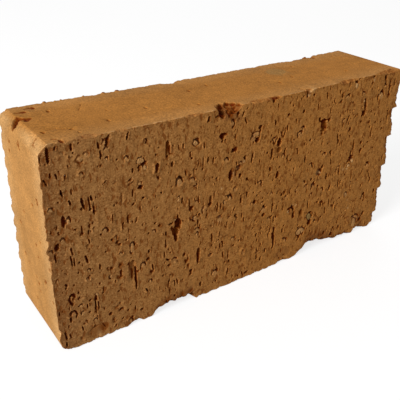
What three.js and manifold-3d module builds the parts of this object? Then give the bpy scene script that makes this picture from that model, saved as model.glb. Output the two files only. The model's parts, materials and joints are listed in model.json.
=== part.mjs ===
// A solid clay brick. Its column of clay is pressed through a die along Y and cut off by wires, so the
// four skins (two ends, top and bottom) are smooth, and the two large bed faces are torn by the wire.
// Millimetres, +Z up. X runs along the brick, Y across it from bed face to bed face. The brick stands
// on one long narrow skin at z = 0, and the origin is the middle of that footprint.
import * as THREE from 'three';
import { mergeVertices } from 'three/addons/utils/BufferGeometryUtils.js';
import Module from 'manifold-3d';

// ---- Driving dimensions ---------------------------------------------------------------------------
const LENGTH = 240; // between the end faces
const THICKNESS = 52; // between the wire-cut bed faces
const WIDTH = 115; // between the long skins, which is the height as the brick stands
const TOP_SAG = 1.2; // how far the upper skin sank at mid-length while the clay was soft

// Die corners: the end face bends in over `drop`, and meets the long skin `run` from the end. The
// bend is drawn towards a point on the end face's line, `crease` from the long skin's line.
const TOP_CORNER = { drop: 5.4, run: 4.6, crease: 2.9 };
const BOTTOM_CORNER = { drop: 9, run: 8, crease: 1 };

// Arrises where the wire cut through the skin. `WEAR` is how far a sound arris has worn into the bed
// face, `BREAK` how far back into the skin, and `RAGGED` how much both vary from point to point. Tears
// follow that only by the power `TEAR_RAGGED`.
const WEAR = 0.4;
const BREAK = 0.7;
const RAGGED = 0.6;
const TEAR_RAGGED = 0.2;

// The worn arris in section, from the bed face (all wear, no break) to the skin (no wear, all break).
const ARRIS_SECTION = [[1, 0], [0.62, 0.2], [0.26, 0.56], [0, 1]];

const STATION_STEP = 2.6; // spacing of the points round the outline, on the long stretches
const CORNER_STATIONS = 6; // points on each die corner
const CORE_MARGIN = 16; // worn points move straight towards a core this far inside the skins
const SMALLEST_FACET = 0.02; // facets thinner than this are merged into their neighbours

const LEFT = -LENGTH / 2;
const RIGHT = LENGTH / 2;
const TOP = WIDTH;

// Bed faces: where each lies, which way along Y leads into the clay, and the seed of its arris.
const FRONT = { y: -THICKNESS / 2, inward: 1, seed: 1 };
const BACK = { y: THICKNESS / 2, inward: -1, seed: 2 };

// Tears along the arrises. Each runs from `from` to `to` along its skin (x on top and bottom, z on the
// ends), swells over `rise`, dies out over `fall`, and takes `depth` off the bed face and `reach` off
// the skin.
const FRONT_TEARS = [
  { skin: 'bottom', from: LEFT + 38, to: LEFT + 49, rise: 4, fall: 4, depth: 1.6, reach: 3 },
  { skin: 'bottom', from: LEFT + 53, to: LEFT + 84, rise: 7, fall: 3, depth: 5, reach: 8 },
  { skin: 'bottom', from: RIGHT - 95, to: RIGHT - 85, rise: 3, fall: 3, depth: 1.3, reach: 2.5 },
  { skin: 'bottom', from: RIGHT - 81, to: RIGHT - 38, rise: 15, fall: 23, depth: 6.7, reach: 9 },
  { skin: 'bottom', from: RIGHT - 76, to: RIGHT - 22, rise: 10, fall: 9, depth: 1.9, reach: 3 },
  { skin: 'bottom', from: RIGHT - 24, to: RIGHT - 8, rise: 5, fall: 7, depth: 3.5, reach: 4 },
  { skin: 'top', from: LEFT + 16, to: LEFT + 32, rise: 4, fall: 9, depth: 0.5, reach: 3.4 },
  { skin: 'top', from: LEFT + 72, to: LEFT + 86, rise: 7, fall: 3, depth: 0.6, reach: 2 },
  { skin: 'top', from: LEFT + 93, to: LEFT + 111, rise: 3, fall: 7, depth: 3.6, reach: 8 },
  { skin: 'top', from: LEFT + 112, to: LEFT + 139, rise: 6, fall: 7, depth: 0.5, reach: 2.4 },
  { skin: 'top', from: RIGHT - 86, to: RIGHT - 78, rise: 2.6, fall: 5, depth: 1.8, reach: 2.6 },
  { skin: 'top', from: RIGHT - 60, to: RIGHT - 40, rise: 6, fall: 8, depth: 1.1, reach: 2.5 },
  { skin: 'top', from: RIGHT - 26, to: RIGHT - 4, rise: 8, fall: 4, depth: 1.2, reach: 3 },
  { skin: 'left', from: TOP - 63, to: TOP - 56, rise: 3, fall: 2, depth: 0.5, reach: 1 },
  { skin: 'right', from: TOP - 26, to: TOP - 4, rise: 3, fall: 5, depth: 1.2, reach: 2 },
];
const BACK_TEARS = [
  { skin: 'top', from: LEFT + 90, to: LEFT + 104, rise: 6, fall: 6, depth: 1, reach: 3 },
  { skin: 'top', from: RIGHT - 64, to: RIGHT - 29, rise: 14, fall: 2, depth: 0.7, reach: 3 },
  { skin: 'bottom', from: LEFT + 96, to: LEFT + 124, rise: 10, fall: 6, depth: 2.2, reach: 4 },
  { skin: 'bottom', from: RIGHT - 52, to: RIGHT - 30, rise: 5, fall: 9, depth: 1.8, reach: 4 },
];

// Where the wire leaves the end of the column it drags the last clay along and lets it go in steps.
// Each step breaks in sharply at its upper end (`top`) and runs out downwards over its `length`.
const STEP_BREAK = 1.2; // height over which a step breaks in
const DRAG_STEPS = [
  { top: TOP - 26, length: 18, depth: 3.7 },
  { top: TOP - 45.5, length: 20, depth: 3.2 },
  { top: TOP - 67, length: 16, depth: 3 },
  { top: TOP - 84.5, length: 18, depth: 2.6 },
  { top: TOP - 104, length: 9.5, depth: 2 },
];
const DRAG_REACH = 5; // how far a step tears back into the right-hand skin
const FINE_STEPS = { pitch: 9, depth: 1.3, reach: 2.6, spread: 0.3 }; // on the far left arris

// What the wire tore out of the front bed face. Pits are torn lumps, each `length` high, and deepest
// near the top. Slits are narrow, and lean across by `lean` for each unit that they climb. Hooks are
// gaps that opened round one side of a lump: `size` wide and `tall` times as high, centred `turn`
// degrees round from the right, and `span` degrees long.
const FRONT_PITS = [
  { x: LEFT + 50.9, z: TOP - 20.2, length: 2.8, width: 2.3, depth: 2.1 },
  { x: LEFT + 8.3, z: TOP - 38.7, length: 6.2, width: 2, depth: 2.1 },
  { x: LEFT + 69.8, z: 52.6, length: 10.8, width: 4.5, depth: 2.8 },
  { x: LEFT + 97.6, z: TOP - 15.8, length: 3.2, width: 4.2, depth: 2.1 },
  { x: LEFT + 104.3, z: TOP - 40.1, length: 6.2, width: 2.5, depth: 2 },
  { x: RIGHT - 118.6, z: TOP - 23.4, length: 2.6, width: 2.7, depth: 2.3 },
  { x: LEFT + 96.4, z: TOP - 4.4, length: 4.5, width: 3.9, depth: 3.2 },
  { x: LEFT + 110.4, z: TOP - 7.6, length: 5, width: 2.5, depth: 1.8 },
  { x: RIGHT - 67.1, z: TOP - 25.8, length: 6.6, width: 4.8, depth: 2.6 },
  { x: RIGHT - 62.8, z: TOP - 22.8, length: 2.8, width: 2.2, depth: 1.7 },
  { x: RIGHT - 37.1, z: TOP - 53.5, length: 3.2, width: 2.9, depth: 2.7 },
  { x: RIGHT - 65.2, z: TOP - 56.7, length: 5, width: 3.6, depth: 2.7 },
  { x: RIGHT - 85.3, z: 38.1, length: 2.8, width: 4.4, depth: 2.1 },
  { x: RIGHT - 69.3, z: 22.6, length: 2.7, width: 3.4, depth: 2.7 },
  { x: LEFT + 4, z: TOP - 51.2, length: 3.6, width: 2.4, depth: 2 },
  { x: RIGHT - 69.6, z: 50.7, length: 3.4, width: 2.8, depth: 1.3 },
  { x: RIGHT - 53.6, z: 44.2, length: 3.9, width: 2.5, depth: 2.2 },
  { x: LEFT + 78.6, z: TOP - 53.4, length: 2.7, width: 2.5, depth: 1.8 },
  { x: RIGHT - 51.9, z: 9.7, length: 2.5, width: 2.3, depth: 1.8 },
  { x: RIGHT - 45, z: 6.2, length: 3, width: 3.9, depth: 2.3 },
  { x: RIGHT - 23.6, z: 13.5, length: 2.7, width: 3.2, depth: 2 },
  { x: LEFT + 64.2, z: TOP - 15.8, length: 9.8, width: 2, depth: 1.1 },
  { x: LEFT + 91.4, z: TOP - 52, length: 6.8, width: 1.8, depth: 1.1 },
  { x: LEFT + 42, z: 35.8, length: 12.9, width: 3.5, depth: 1.2 },
  { x: LEFT + 84.5, z: 31, length: 7.4, width: 2.5, depth: 1.2 },
  { x: RIGHT - 77.3, z: 31.5, length: 6.4, width: 3, depth: 1.1 },
  { x: RIGHT - 99, z: 23.5, length: 13.8, width: 1.8, depth: 1.3 },
];
const FRONT_SLITS = [
  { x: LEFT + 4.2, z: TOP - 5.4, length: 7.8, width: 1.3, depth: 2.3, lean: 0 },
  { x: LEFT + 32.2, z: TOP - 4.5, length: 6.2, width: 1.5, depth: 2.3, lean: 0.3 },
  { x: LEFT + 28.6, z: TOP - 10.4, length: 4.7, width: 1, depth: 2.2, lean: 0 },
  { x: LEFT + 8.6, z: TOP - 24.4, length: 4.1, width: 1, depth: 1.9, lean: -0.2 },
  { x: LEFT + 12, z: TOP - 30, length: 3.5, width: 1, depth: 1.8, lean: -0.2 },
  { x: LEFT + 18.2, z: TOP - 32.3, length: 6.5, width: 1.2, depth: 2, lean: -0.2 },
  { x: LEFT + 42.4, z: TOP - 4.2, length: 4, width: 1, depth: 1.8, lean: 0.25 },
  { x: LEFT + 66.7, z: TOP - 24.4, length: 3.3, width: 1.1, depth: 1.6, lean: 0 },
  { x: LEFT + 57.8, z: TOP - 24.3, length: 5.2, width: 1.4, depth: 1.8, lean: 0.1 },
  { x: LEFT + 44.5, z: 30.3, length: 15.4, width: 1.2, depth: 2.1, lean: 0 },
  { x: LEFT + 69.4, z: 46.2, length: 4.3, width: 1.4, depth: 1.8, lean: 0 },
  { x: LEFT + 51, z: 19.2, length: 3.1, width: 1.1, depth: 1.8, lean: -0.3 },
  { x: LEFT + 88.2, z: TOP - 5, length: 3.4, width: 1.3, depth: 2, lean: 0.2 },
  { x: RIGHT - 101.8, z: TOP - 28.8, length: 5.6, width: 2.1, depth: 2.5, lean: 0 },
  { x: RIGHT - 31.8, z: TOP - 18.3, length: 8, width: 1.5, depth: 1.9, lean: 0.1 },
  { x: RIGHT - 57.9, z: 53.6, length: 4.8, width: 1.5, depth: 1.8, lean: 0 },
  { x: LEFT + 20.8, z: 22.5, length: 10.8, width: 1, depth: 1.9, lean: 0 },
  { x: LEFT + 6.9, z: 19.4, length: 3.7, width: 1.2, depth: 1.8, lean: 0 },
  { x: LEFT + 3.5, z: 4.8, length: 3.1, width: 0.9, depth: 1.6, lean: 0 },
  { x: LEFT + 10.3, z: 53.8, length: 6.8, width: 0.9, depth: 1.6, lean: -0.08 },
  { x: LEFT + 17.9, z: 52.1, length: 4.8, width: 1.2, depth: 1.9, lean: -0.25 },
  { x: LEFT + 112.8, z: 56.5, length: 3.9, width: 1.3, depth: 1.5, lean: 0 },
  { x: LEFT + 3.6, z: 10.3, length: 6.4, width: 0.9, depth: 1.6, lean: -0.12 },
  { x: LEFT + 118.7, z: TOP - 33.8, length: 6.6, width: 1, depth: 1.2, lean: 0.15 },
  { x: RIGHT - 46.9, z: 29.8, length: 5.7, width: 1.2, depth: 1.5, lean: 0.2 },
  { x: RIGHT - 106.8, z: TOP - 34.2, length: 6.8, width: 1.2, depth: 1.3, lean: 0 },
  { x: RIGHT - 45.8, z: TOP - 24.9, length: 4.3, width: 1.1, depth: 1.3, lean: 0.3 },
  { x: RIGHT - 91.5, z: 24, length: 4.4, width: 1.3, depth: 1.2, lean: 0 },
  { x: RIGHT - 98.5, z: 22.1, length: 14.6, width: 1.3, depth: 2.2, lean: 0 },
  { x: RIGHT - 83.9, z: 33.6, length: 5.4, width: 1.6, depth: 2, lean: 0 },
  { x: RIGHT - 52.5, z: TOP - 37.2, length: 7.8, width: 1.2, depth: 1.6, lean: -0.18 },
  { x: RIGHT - 39.1, z: TOP - 53.4, length: 8.3, width: 2.2, depth: 2.7, lean: 0.15 },
  { x: RIGHT - 14.7, z: 12.6, length: 3.8, width: 2, depth: 2.2, lean: 0.6 },
];
const FRONT_HOOKS = [
  { x: LEFT + 28.6, z: TOP - 50.4, size: 2.9, depth: 1.9, turn: 60, span: 210, tall: 1 },
  { x: LEFT + 80.7, z: TOP - 15.7, size: 3.6, depth: 1.9, turn: 90, span: 150, tall: 1 },
  { x: LEFT + 71.1, z: TOP - 35.6, size: 3.1, depth: 2.1, turn: 105, span: 240, tall: 1.5 },
  { x: LEFT + 104.8, z: TOP - 54.6, size: 3, depth: 1.5, turn: 80, span: 240, tall: 1 },
  { x: LEFT + 83.1, z: 46.8, size: 2.8, depth: 1.9, turn: 80, span: 170, tall: 1 },
  { x: LEFT + 83.1, z: 44, size: 2.8, depth: 1.6, turn: 90, span: 170, tall: 1 },
  { x: LEFT + 49.2, z: 37, size: 2.7, depth: 1.9, turn: 100, span: 210, tall: 1 },
  { x: LEFT + 96.6, z: 12.2, size: 4.4, depth: 2.2, turn: 105, span: 180, tall: 1 },
  { x: LEFT + 100.9, z: TOP - 30.6, size: 2.8, depth: 2, turn: 85, span: 210, tall: 1 },
  { x: LEFT + 118.6, z: TOP - 22.2, size: 3.4, depth: 1.9, turn: 125, span: 150, tall: 1 },
  { x: RIGHT - 113.8, z: TOP - 50.8, size: 2.4, depth: 1.8, turn: 80, span: 280, tall: 1 },
  { x: RIGHT - 85.9, z: TOP - 27, size: 4, depth: 1.9, turn: 130, span: 230, tall: 1 },
  { x: RIGHT - 49, z: TOP - 11.2, size: 3.4, depth: 1.9, turn: 100, span: 200, tall: 1 },
  { x: RIGHT - 17.9, z: TOP - 15.4, size: 3.4, depth: 1.9, turn: 90, span: 200, tall: 1.2 },
  { x: RIGHT - 65.3, z: TOP - 57.2, size: 4.2, depth: 2, turn: 110, span: 250, tall: 1 },
  { x: RIGHT - 35.8, z: 33.8, size: 3, depth: 1.6, turn: 90, span: 210, tall: 1 },
  { x: RIGHT - 109.1, z: 44.8, size: 3.8, depth: 1.6, turn: 105, span: 170, tall: 1 },
  { x: LEFT + 8.8, z: 31.2, size: 3.1, depth: 2, turn: 160, span: 290, tall: 1.9 },
  { x: LEFT + 8.6, z: 21.8, size: 3.2, depth: 1.9, turn: 80, span: 200, tall: 1.2 },
  { x: LEFT + 7.1, z: TOP - 48.8, size: 2.4, depth: 1.7, turn: 80, span: 210, tall: 1 },
  { x: RIGHT - 68.7, z: 28.2, size: 4.4, depth: 1.5, turn: 90, span: 240, tall: 1.2 },
  { x: LEFT + 109.2, z: TOP - 37.3, size: 3, depth: 1.5, turn: 90, span: 200, tall: 1 },
  { x: LEFT + 112.8, z: TOP - 33.1, size: 2.6, depth: 2, turn: 20, span: 190, tall: 1 },
  { x: LEFT + 98.1, z: 50, size: 2.8, depth: 1.6, turn: 95, span: 150, tall: 1 },
  { x: LEFT + 81, z: 54.7, size: 3, depth: 1.3, turn: 180, span: 240, tall: 1 },
  { x: RIGHT - 73.9, z: 20.5, size: 3, depth: 1.7, turn: 90, span: 120, tall: 1 },
];

// The same on the back bed face.
const BACK_PITS = [
  { x: LEFT + 22, z: TOP - 27, length: 5.2, width: 3.4, depth: 1.9 },
  { x: LEFT + 47, z: 31, length: 7.5, width: 3, depth: 2.1 },
  { x: LEFT + 66, z: TOP - 41, length: 4, width: 4.6, depth: 1.8 },
  { x: LEFT + 84, z: 18, length: 6, width: 3.2, depth: 1.7 },
  { x: LEFT + 101, z: 52, length: 9, width: 4.2, depth: 2.4 },
  { x: RIGHT - 112, z: TOP - 21, length: 4.4, width: 3.6, depth: 1.8 },
  { x: RIGHT - 101, z: 38, length: 6.6, width: 2.8, depth: 2 },
  { x: RIGHT - 77, z: TOP - 45, length: 8.2, width: 3.8, depth: 2.2 },
  { x: RIGHT - 59, z: 24, length: 4.8, width: 5.2, depth: 1.9 },
  { x: RIGHT - 43, z: TOP - 17, length: 5.6, width: 2.6, depth: 1.7 },
  { x: RIGHT - 26, z: 57, length: 7, width: 4.4, depth: 2.2 },
  { x: RIGHT - 11, z: 33, length: 4.2, width: 2.8, depth: 1.6 },
];
const BACK_SLITS = [
  { x: LEFT + 14, z: TOP - 54, length: 6.2, width: 1.3, depth: 1.8, lean: 0 },
  { x: LEFT + 35, z: TOP - 12, length: 4.8, width: 1.4, depth: 1.7, lean: 0 },
  { x: LEFT + 58, z: 50, length: 9.5, width: 1.2, depth: 1.9, lean: 0 },
  { x: LEFT + 77, z: TOP - 14, length: 5.4, width: 1.5, depth: 1.8, lean: 0 },
  { x: LEFT + 92, z: TOP - 32, length: 7.2, width: 1.1, depth: 1.6, lean: 0 },
  { x: LEFT + 115, z: 23, length: 6.6, width: 1.4, depth: 1.9, lean: 0 },
  { x: RIGHT - 118, z: TOP - 49, length: 4.6, width: 1.6, depth: 1.7, lean: 0 },
  { x: RIGHT - 91, z: 15, length: 5.2, width: 1.2, depth: 1.6, lean: 0 },
  { x: RIGHT - 64, z: TOP - 26, length: 8.4, width: 1.3, depth: 1.9, lean: 0 },
  { x: RIGHT - 49, z: 46, length: 6, width: 1.2, depth: 1.7, lean: 0 },
  { x: RIGHT - 34, z: TOP - 35, length: 4.4, width: 1.6, depth: 1.8, lean: 0 },
  { x: RIGHT - 7, z: TOP - 39, length: 5.8, width: 1.2, depth: 1.7, lean: 0 },
];
const BACK_HOOKS = [
  { x: LEFT + 29, z: 19, size: 3.6, depth: 1.9, turn: 95, span: 210, tall: 1 },
  { x: LEFT + 72, z: 37, size: 3, depth: 1.8, turn: 80, span: 240, tall: 1 },
  { x: LEFT + 108, z: TOP - 11, size: 4, depth: 2, turn: 110, span: 200, tall: 1 },
  { x: RIGHT - 94, z: 56, size: 3.4, depth: 1.9, turn: 90, span: 210, tall: 1 },
  { x: RIGHT - 37, z: 15, size: 4.2, depth: 2, turn: 85, span: 240, tall: 1 },
  { x: RIGHT - 19, z: TOP - 11, size: 3.2, depth: 1.8, turn: 70, span: 210, tall: 1 },
  { x: RIGHT - 53, z: TOP - 47, size: 3, depth: 1.7, turn: 120, span: 210, tall: 1 },
];

const PIT_HEAD = 0.36; // the share of a pit's length above its deepest point
const PIT_ROUGHNESS = 0.16; // how uneven a pit's wall is, as a share of its size
const MOUTH = 0.4; // slits and hooks are cut from this far outside the bed face
const GROOVE_TIP = 0.25; // how wide and deep their ends are, as a share of the middle
const GROOVE_FLOOR = 0.5; // how wide their floor is, as a share of the mouth
const HOOK_WIDTH = 1.1; // how wide a hook's gap is
const HOOK_STEPS = 5; // straight stretches in a hook

// Chips knocked off the die corners of the skins.
const CHIPS = [
  { x: LEFT + 0.9, y: FRONT.y + 33.6, z: TOP - 1.6, size: [2.4, 2.6, 2.4] },
  { x: LEFT + 4.6, y: FRONT.y + 36.2, z: TOP + 0.4, size: [2.6, 1.1, 1.4] },
  { x: LEFT + 7.9, y: FRONT.y + 32.3, z: TOP + 0.4, size: [1.6, 1.2, 1.3] },
  { x: LEFT + 20.7, y: FRONT.y + 12, z: TOP + 0.2, size: [1.4, 1, 1.5] },
  { x: LEFT + 1.2, y: FRONT.y + 12, z: 0.8, size: [3.4, 3.2, 2.8] },
  { x: RIGHT - 32.5, y: BACK.y - 4, z: TOP, size: [2.2, 2, 1.8] },
];
const CHIP_ROUGHNESS = 0.2;

// ---- Tools ----------------------------------------------------------------------------------------
const wasm = await Module();
wasm.setup();

// Repeatable chance: each feature rolls dice of its own, so a change to one leaves the others alone.
class Dice {
  constructor(seed) {
    this.state = seed;
  }

  // The next number of a linear congruential generator, from 0 to 1.
  roll() {
    this.state = (this.state * 1664525 + 1013904223) % 2 ** 32;
    return this.state / 2 ** 32;
  }

  around(middle, spread) {
    return middle * (1 + spread * (2 * this.roll() - 1));
  }
}

function toManifold(geometry) {
  geometry.deleteAttribute('normal');
  geometry.deleteAttribute('uv');
  const merged = mergeVertices(geometry);
  const vertProperties = new Float32Array(merged.attributes.position.array);
  const triVerts = new Uint32Array(merged.index.array);
  return new wasm.Manifold(new wasm.Mesh({ numProp: 3, vertProperties, triVerts }));
}

function toGeometry(manifold) {
  const mesh = manifold.getMesh();
  const geometry = new THREE.BufferGeometry();
  geometry.setAttribute('position', new THREE.BufferAttribute(new Float32Array(mesh.vertProperties), 3));
  geometry.setIndex(Array.from(mesh.triVerts));
  geometry.computeVertexNormals();
  return geometry;
}

// ---- The column's section, as the die gives it ----------------------------------------------------
function dieOutline() {
  const outline = new THREE.Shape();
  outline.moveTo(LEFT + BOTTOM_CORNER.run, 0);
  outline.lineTo(RIGHT - BOTTOM_CORNER.run, 0);
  outline.quadraticCurveTo(RIGHT, BOTTOM_CORNER.crease, RIGHT, BOTTOM_CORNER.drop);
  outline.lineTo(RIGHT, TOP - TOP_CORNER.drop);
  outline.quadraticCurveTo(RIGHT, TOP - TOP_CORNER.crease, RIGHT - TOP_CORNER.run, TOP);
  outline.quadraticCurveTo(0, TOP - 2 * TOP_SAG, LEFT + TOP_CORNER.run, TOP);
  outline.quadraticCurveTo(LEFT, TOP - TOP_CORNER.crease, LEFT, TOP - TOP_CORNER.drop);
  outline.lineTo(LEFT, BOTTOM_CORNER.drop);
  outline.quadraticCurveTo(LEFT, BOTTOM_CORNER.crease, LEFT + BOTTOM_CORNER.run, 0);
  return outline;
}

// The outline's curves in drawing order, each named for the skin that it belongs to.
const SKINS = ['bottom', 'corner', 'right', 'corner', 'top', 'corner', 'left', 'corner'];

// Points round the outline. Each knows its skin and the way into the clay.
function stations() {
  return dieOutline().curves.flatMap((curve, index) => {
    const skin = SKINS[index];
    const count = skin === 'corner' ? CORNER_STATIONS : Math.round(curve.getLength() / STATION_STEP);
    return curve.getSpacedPoints(count).slice(0, -1).map((point) => {
      const core = new THREE.Vector2(
        THREE.MathUtils.clamp(point.x, LEFT + CORE_MARGIN, RIGHT - CORE_MARGIN),
        THREE.MathUtils.clamp(point.y, CORE_MARGIN, TOP - CORE_MARGIN),
      );
      return { point, skin, inward: core.sub(point).normalize() };
    });
  });
}

// ---- Arrises --------------------------------------------------------------------------------------
function dragSteps() {
  return DRAG_STEPS.map(({ top, length, depth }) => ({
    skin: 'right', from: top - length, to: top, rise: length - STEP_BREAK, fall: STEP_BREAK,
    depth, reach: DRAG_REACH,
  }));
}

function fineSteps() {
  const dice = new Dice(3);
  const { pitch, depth, reach, spread } = FINE_STEPS;
  const steps = [];
  for (let top = TOP - TOP_CORNER.drop; top - pitch > BOTTOM_CORNER.drop; top -= pitch) {
    const length = dice.around(pitch, spread);
    steps.push({
      skin: 'left', from: top - length, to: top, rise: length - STEP_BREAK, fall: STEP_BREAK,
      depth: dice.around(depth, spread), reach: dice.around(reach, spread),
    });
  }
  return steps;
}

// How much of a tear is there at a place along its skin, from 0 outside it to 1 in its full part.
function tearShare(tear, place) {
  const share = Math.min((place - tear.from) / tear.rise, (tear.to - place) / tear.fall);
  return THREE.MathUtils.smoothstep(share, 0, 1);
}

// What is missing at one station of one arris: into the bed face (inset) and into the skin (reach).
function missingAt(station, tears, dice) {
  const ragged = dice.around(1, RAGGED);
  const missing = { inset: WEAR * ragged, reach: BREAK * ragged };
  const upright = station.skin === 'left' || station.skin === 'right';
  const place = upright ? station.point.y : station.point.x;
  for (const tear of tears.filter(({ skin }) => skin === station.skin)) {
    const share = tearShare(tear, place) * ragged ** TEAR_RAGGED;
    missing.inset += tear.depth * share;
    missing.reach += tear.reach * share;
  }
  return missing;
}

// Rings of points from one bed face over its arris to the skin.
function arrisRings(line, face, tears) {
  const dice = new Dice(face.seed);
  const missing = line.map((station) => missingAt(station, tears, dice));
  return ARRIS_SECTION.map(([wear, back]) => line.map(({ point, inward }, i) => {
    const inset = wear * missing[i].inset;
    return new THREE.Vector3(
      point.x + inward.x * inset,
      face.y + face.inward * back * missing[i].reach,
      point.y + inward.y * inset,
    );
  }));
}

// ---- The body: rings from bed face to bed face, closed by the two flat bed faces --------------------
function body() {
  const line = stations();
  const count = line.length;
  const front = arrisRings(line, FRONT, [...FRONT_TEARS, ...dragSteps()]);
  const back = arrisRings(line, BACK, [...BACK_TEARS, ...fineSteps()]);
  const rings = [...front, ...back.reverse()];
  const index = [];
  for (let ring = 0; ring < rings.length - 1; ring += 1) {
    for (let i = 0; i < count; i += 1) {
      const a = ring * count + i;
      const b = ring * count + ((i + 1) % count);
      index.push(a, b + count, b, a, a + count, b + count);
    }
  }
  const flat = (ring) => ring.map(({ x, z }) => new THREE.Vector2(x, z));
  const lastRing = (rings.length - 1) * count;
  THREE.ShapeUtils.triangulateShape(flat(rings[0]), []).forEach(([a, b, c]) => index.push(a, b, c));
  THREE.ShapeUtils.triangulateShape(flat(rings.at(-1)), []).forEach(([a, b, c]) => {
    index.push(lastRing + a, lastRing + c, lastRing + b);
  });
  const geometry = new THREE.BufferGeometry().setFromPoints(rings.flat());
  geometry.setIndex(index);
  return toManifold(geometry);
}

// ---- Pits and chips -------------------------------------------------------------------------------
// A lump with an uneven wall, as a unit ball of clay that came away.
function lump(detail, roughness, dice) {
  const geometry = new THREE.IcosahedronGeometry(1, detail);
  geometry.deleteAttribute('normal');
  geometry.deleteAttribute('uv');
  const ball = mergeVertices(geometry);
  const point = new THREE.Vector3();
  for (let i = 0; i < ball.attributes.position.count; i += 1) {
    point.fromBufferAttribute(ball.attributes.position, i).multiplyScalar(dice.around(1, roughness));
    ball.attributes.position.setXYZ(i, point.x, point.y, point.z);
  }
  return ball;
}

// A pit's lump hangs down from its head: short and blunt above its deepest point, long below it.
function pit({ x, z, length, width, depth }, number) {
  const drop = lump(1, PIT_ROUGHNESS, new Dice(number));
  const place = drop.attributes.position;
  const deepest = z + (0.5 - PIT_HEAD) * length;
  for (let i = 0; i < place.count; i += 1) {
    const height = place.getZ(i) * length * (place.getZ(i) > 0 ? PIT_HEAD : 1 - PIT_HEAD);
    place.setXYZ(i, x + place.getX(i) * width / 2, FRONT.y + place.getY(i) * depth, deepest + height);
  }
  return toManifold(drop);
}

// A groove along a line of points in the bed face. In section it is a wedge with a flat floor.
function groove(line, width, depth) {
  const last = line.length - 1;
  const corners = line.flatMap((middle, i) => {
    const along = line[Math.min(i + 1, last)].clone().sub(line[Math.max(i - 1, 0)]).normalize();
    const size = i === 0 || i === last ? GROOVE_TIP : 1;
    const side = new THREE.Vector2(along.y, -along.x).multiplyScalar(size * width / 2);
    const corner = (across, down) => (
      new THREE.Vector3(middle.x + across * side.x, FRONT.y + down, middle.y + across * side.y)
    );
    const deep = size * depth;
    return [corner(-1, -MOUTH), corner(1, -MOUTH), corner(GROOVE_FLOOR, deep), corner(-GROOVE_FLOOR, deep)];
  });
  const index = [0, 2, 1, 0, 3, 2];
  for (let i = 0; i < last; i += 1) {
    for (let edge = 0; edge < 4; edge += 1) {
      const a = 4 * i + edge;
      const b = 4 * i + ((edge + 1) % 4);
      index.push(a, b, b + 4, a, b + 4, a + 4);
    }
  }
  index.push(...[0, 1, 2, 0, 2, 3].map((corner) => 4 * last + corner));
  const geometry = new THREE.BufferGeometry().setFromPoints(corners);
  geometry.setIndex(index);
  return toManifold(geometry);
}

function slit({ x, z, length, width, depth, lean }) {
  const line = [-0.5, -0.3, 0.3, 0.5].map((share) => (
    new THREE.Vector2(x + lean * share * length, z + share * length)
  ));
  return groove(line, width, depth);
}

function hook({ x, z, size, depth, turn, span, tall }) {
  const line = [];
  for (let step = 0; step <= HOOK_STEPS; step += 1) {
    const round = THREE.MathUtils.degToRad(turn + span * (0.5 - step / HOOK_STEPS));
    line.push(new THREE.Vector2(x + Math.cos(round) * size / 2, z + Math.sin(round) * tall * size / 2));
  }
  return groove(line, HOOK_WIDTH, depth);
}

function torn(pits, slits, hooks) {
  return [...pits.map(pit), ...slits.map(slit), ...hooks.map(hook)];
}

function chip({ x, y, z, size }, number) {
  const geometry = lump(1, CHIP_ROUGHNESS, new Dice(number));
  geometry.scale(...size);
  geometry.translate(x, y, z);
  return toManifold(geometry);
}

// The bed faces mirror each other in the plane y = 0, so the back one's cuts are made on the front.
function brickSolid() {
  const cuts = [
    ...torn(FRONT_PITS, FRONT_SLITS, FRONT_HOOKS),
    ...torn(BACK_PITS, BACK_SLITS, BACK_HOOKS).map((cut) => cut.mirror([0, 1, 0])),
    ...CHIPS.map(chip),
  ];
  return cuts.reduce((solid, cut) => solid.subtract(cut), body()).simplify(SMALLEST_FACET);
}

// ---- The part -------------------------------------------------------------------------------------
const firedClay = new THREE.MeshStandardMaterial({ color: '#b07a42', roughness: 0.95, metalness: 0 });

const brick = new THREE.Mesh(toGeometry(brickSolid()), firedClay);
brick.name = 'brick';

const part = new THREE.Group();
part.add(brick);

export default part;
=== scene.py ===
"""Dresses the packed clay brick: one dense wire-cut body, its fired clay, and a plain studio.

The brick is a column of clay that was pressed through a die along Y and cut off by wires. Its two
ends, its top and its bottom are smooth die skins. Its two large bed faces were torn by the wires:
they carry drag streaks, slits, pull-out pits behind coarse grains, and ragged arrises.

Shapes are worked out in millimetres on whole numpy arrays and written to the mesh in metres.
"""
import json
import logging
import math
from dataclasses import dataclass, field
from enum import Enum, IntEnum
from typing import Self, Union

import bpy
import numpy as np
from mathutils import Matrix, Vector

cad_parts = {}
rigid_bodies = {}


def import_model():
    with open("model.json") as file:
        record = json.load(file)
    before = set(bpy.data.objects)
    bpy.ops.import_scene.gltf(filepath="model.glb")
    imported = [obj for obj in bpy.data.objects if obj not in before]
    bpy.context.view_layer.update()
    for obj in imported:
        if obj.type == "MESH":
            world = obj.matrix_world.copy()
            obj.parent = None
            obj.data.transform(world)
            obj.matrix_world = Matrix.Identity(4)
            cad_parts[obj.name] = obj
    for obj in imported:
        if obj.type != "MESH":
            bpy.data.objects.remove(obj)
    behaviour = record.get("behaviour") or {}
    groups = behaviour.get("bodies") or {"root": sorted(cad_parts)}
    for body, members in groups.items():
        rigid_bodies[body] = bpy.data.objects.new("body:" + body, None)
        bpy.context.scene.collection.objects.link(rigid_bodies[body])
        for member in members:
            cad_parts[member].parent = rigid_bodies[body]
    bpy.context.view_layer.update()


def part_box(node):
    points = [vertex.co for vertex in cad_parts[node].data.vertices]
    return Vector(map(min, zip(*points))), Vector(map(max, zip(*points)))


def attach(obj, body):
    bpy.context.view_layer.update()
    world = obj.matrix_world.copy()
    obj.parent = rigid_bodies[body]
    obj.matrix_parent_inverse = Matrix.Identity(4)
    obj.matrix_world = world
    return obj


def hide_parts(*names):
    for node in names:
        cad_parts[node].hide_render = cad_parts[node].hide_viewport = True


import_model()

Array = np.ndarray
Socket = bpy.types.NodeSocket
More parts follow.
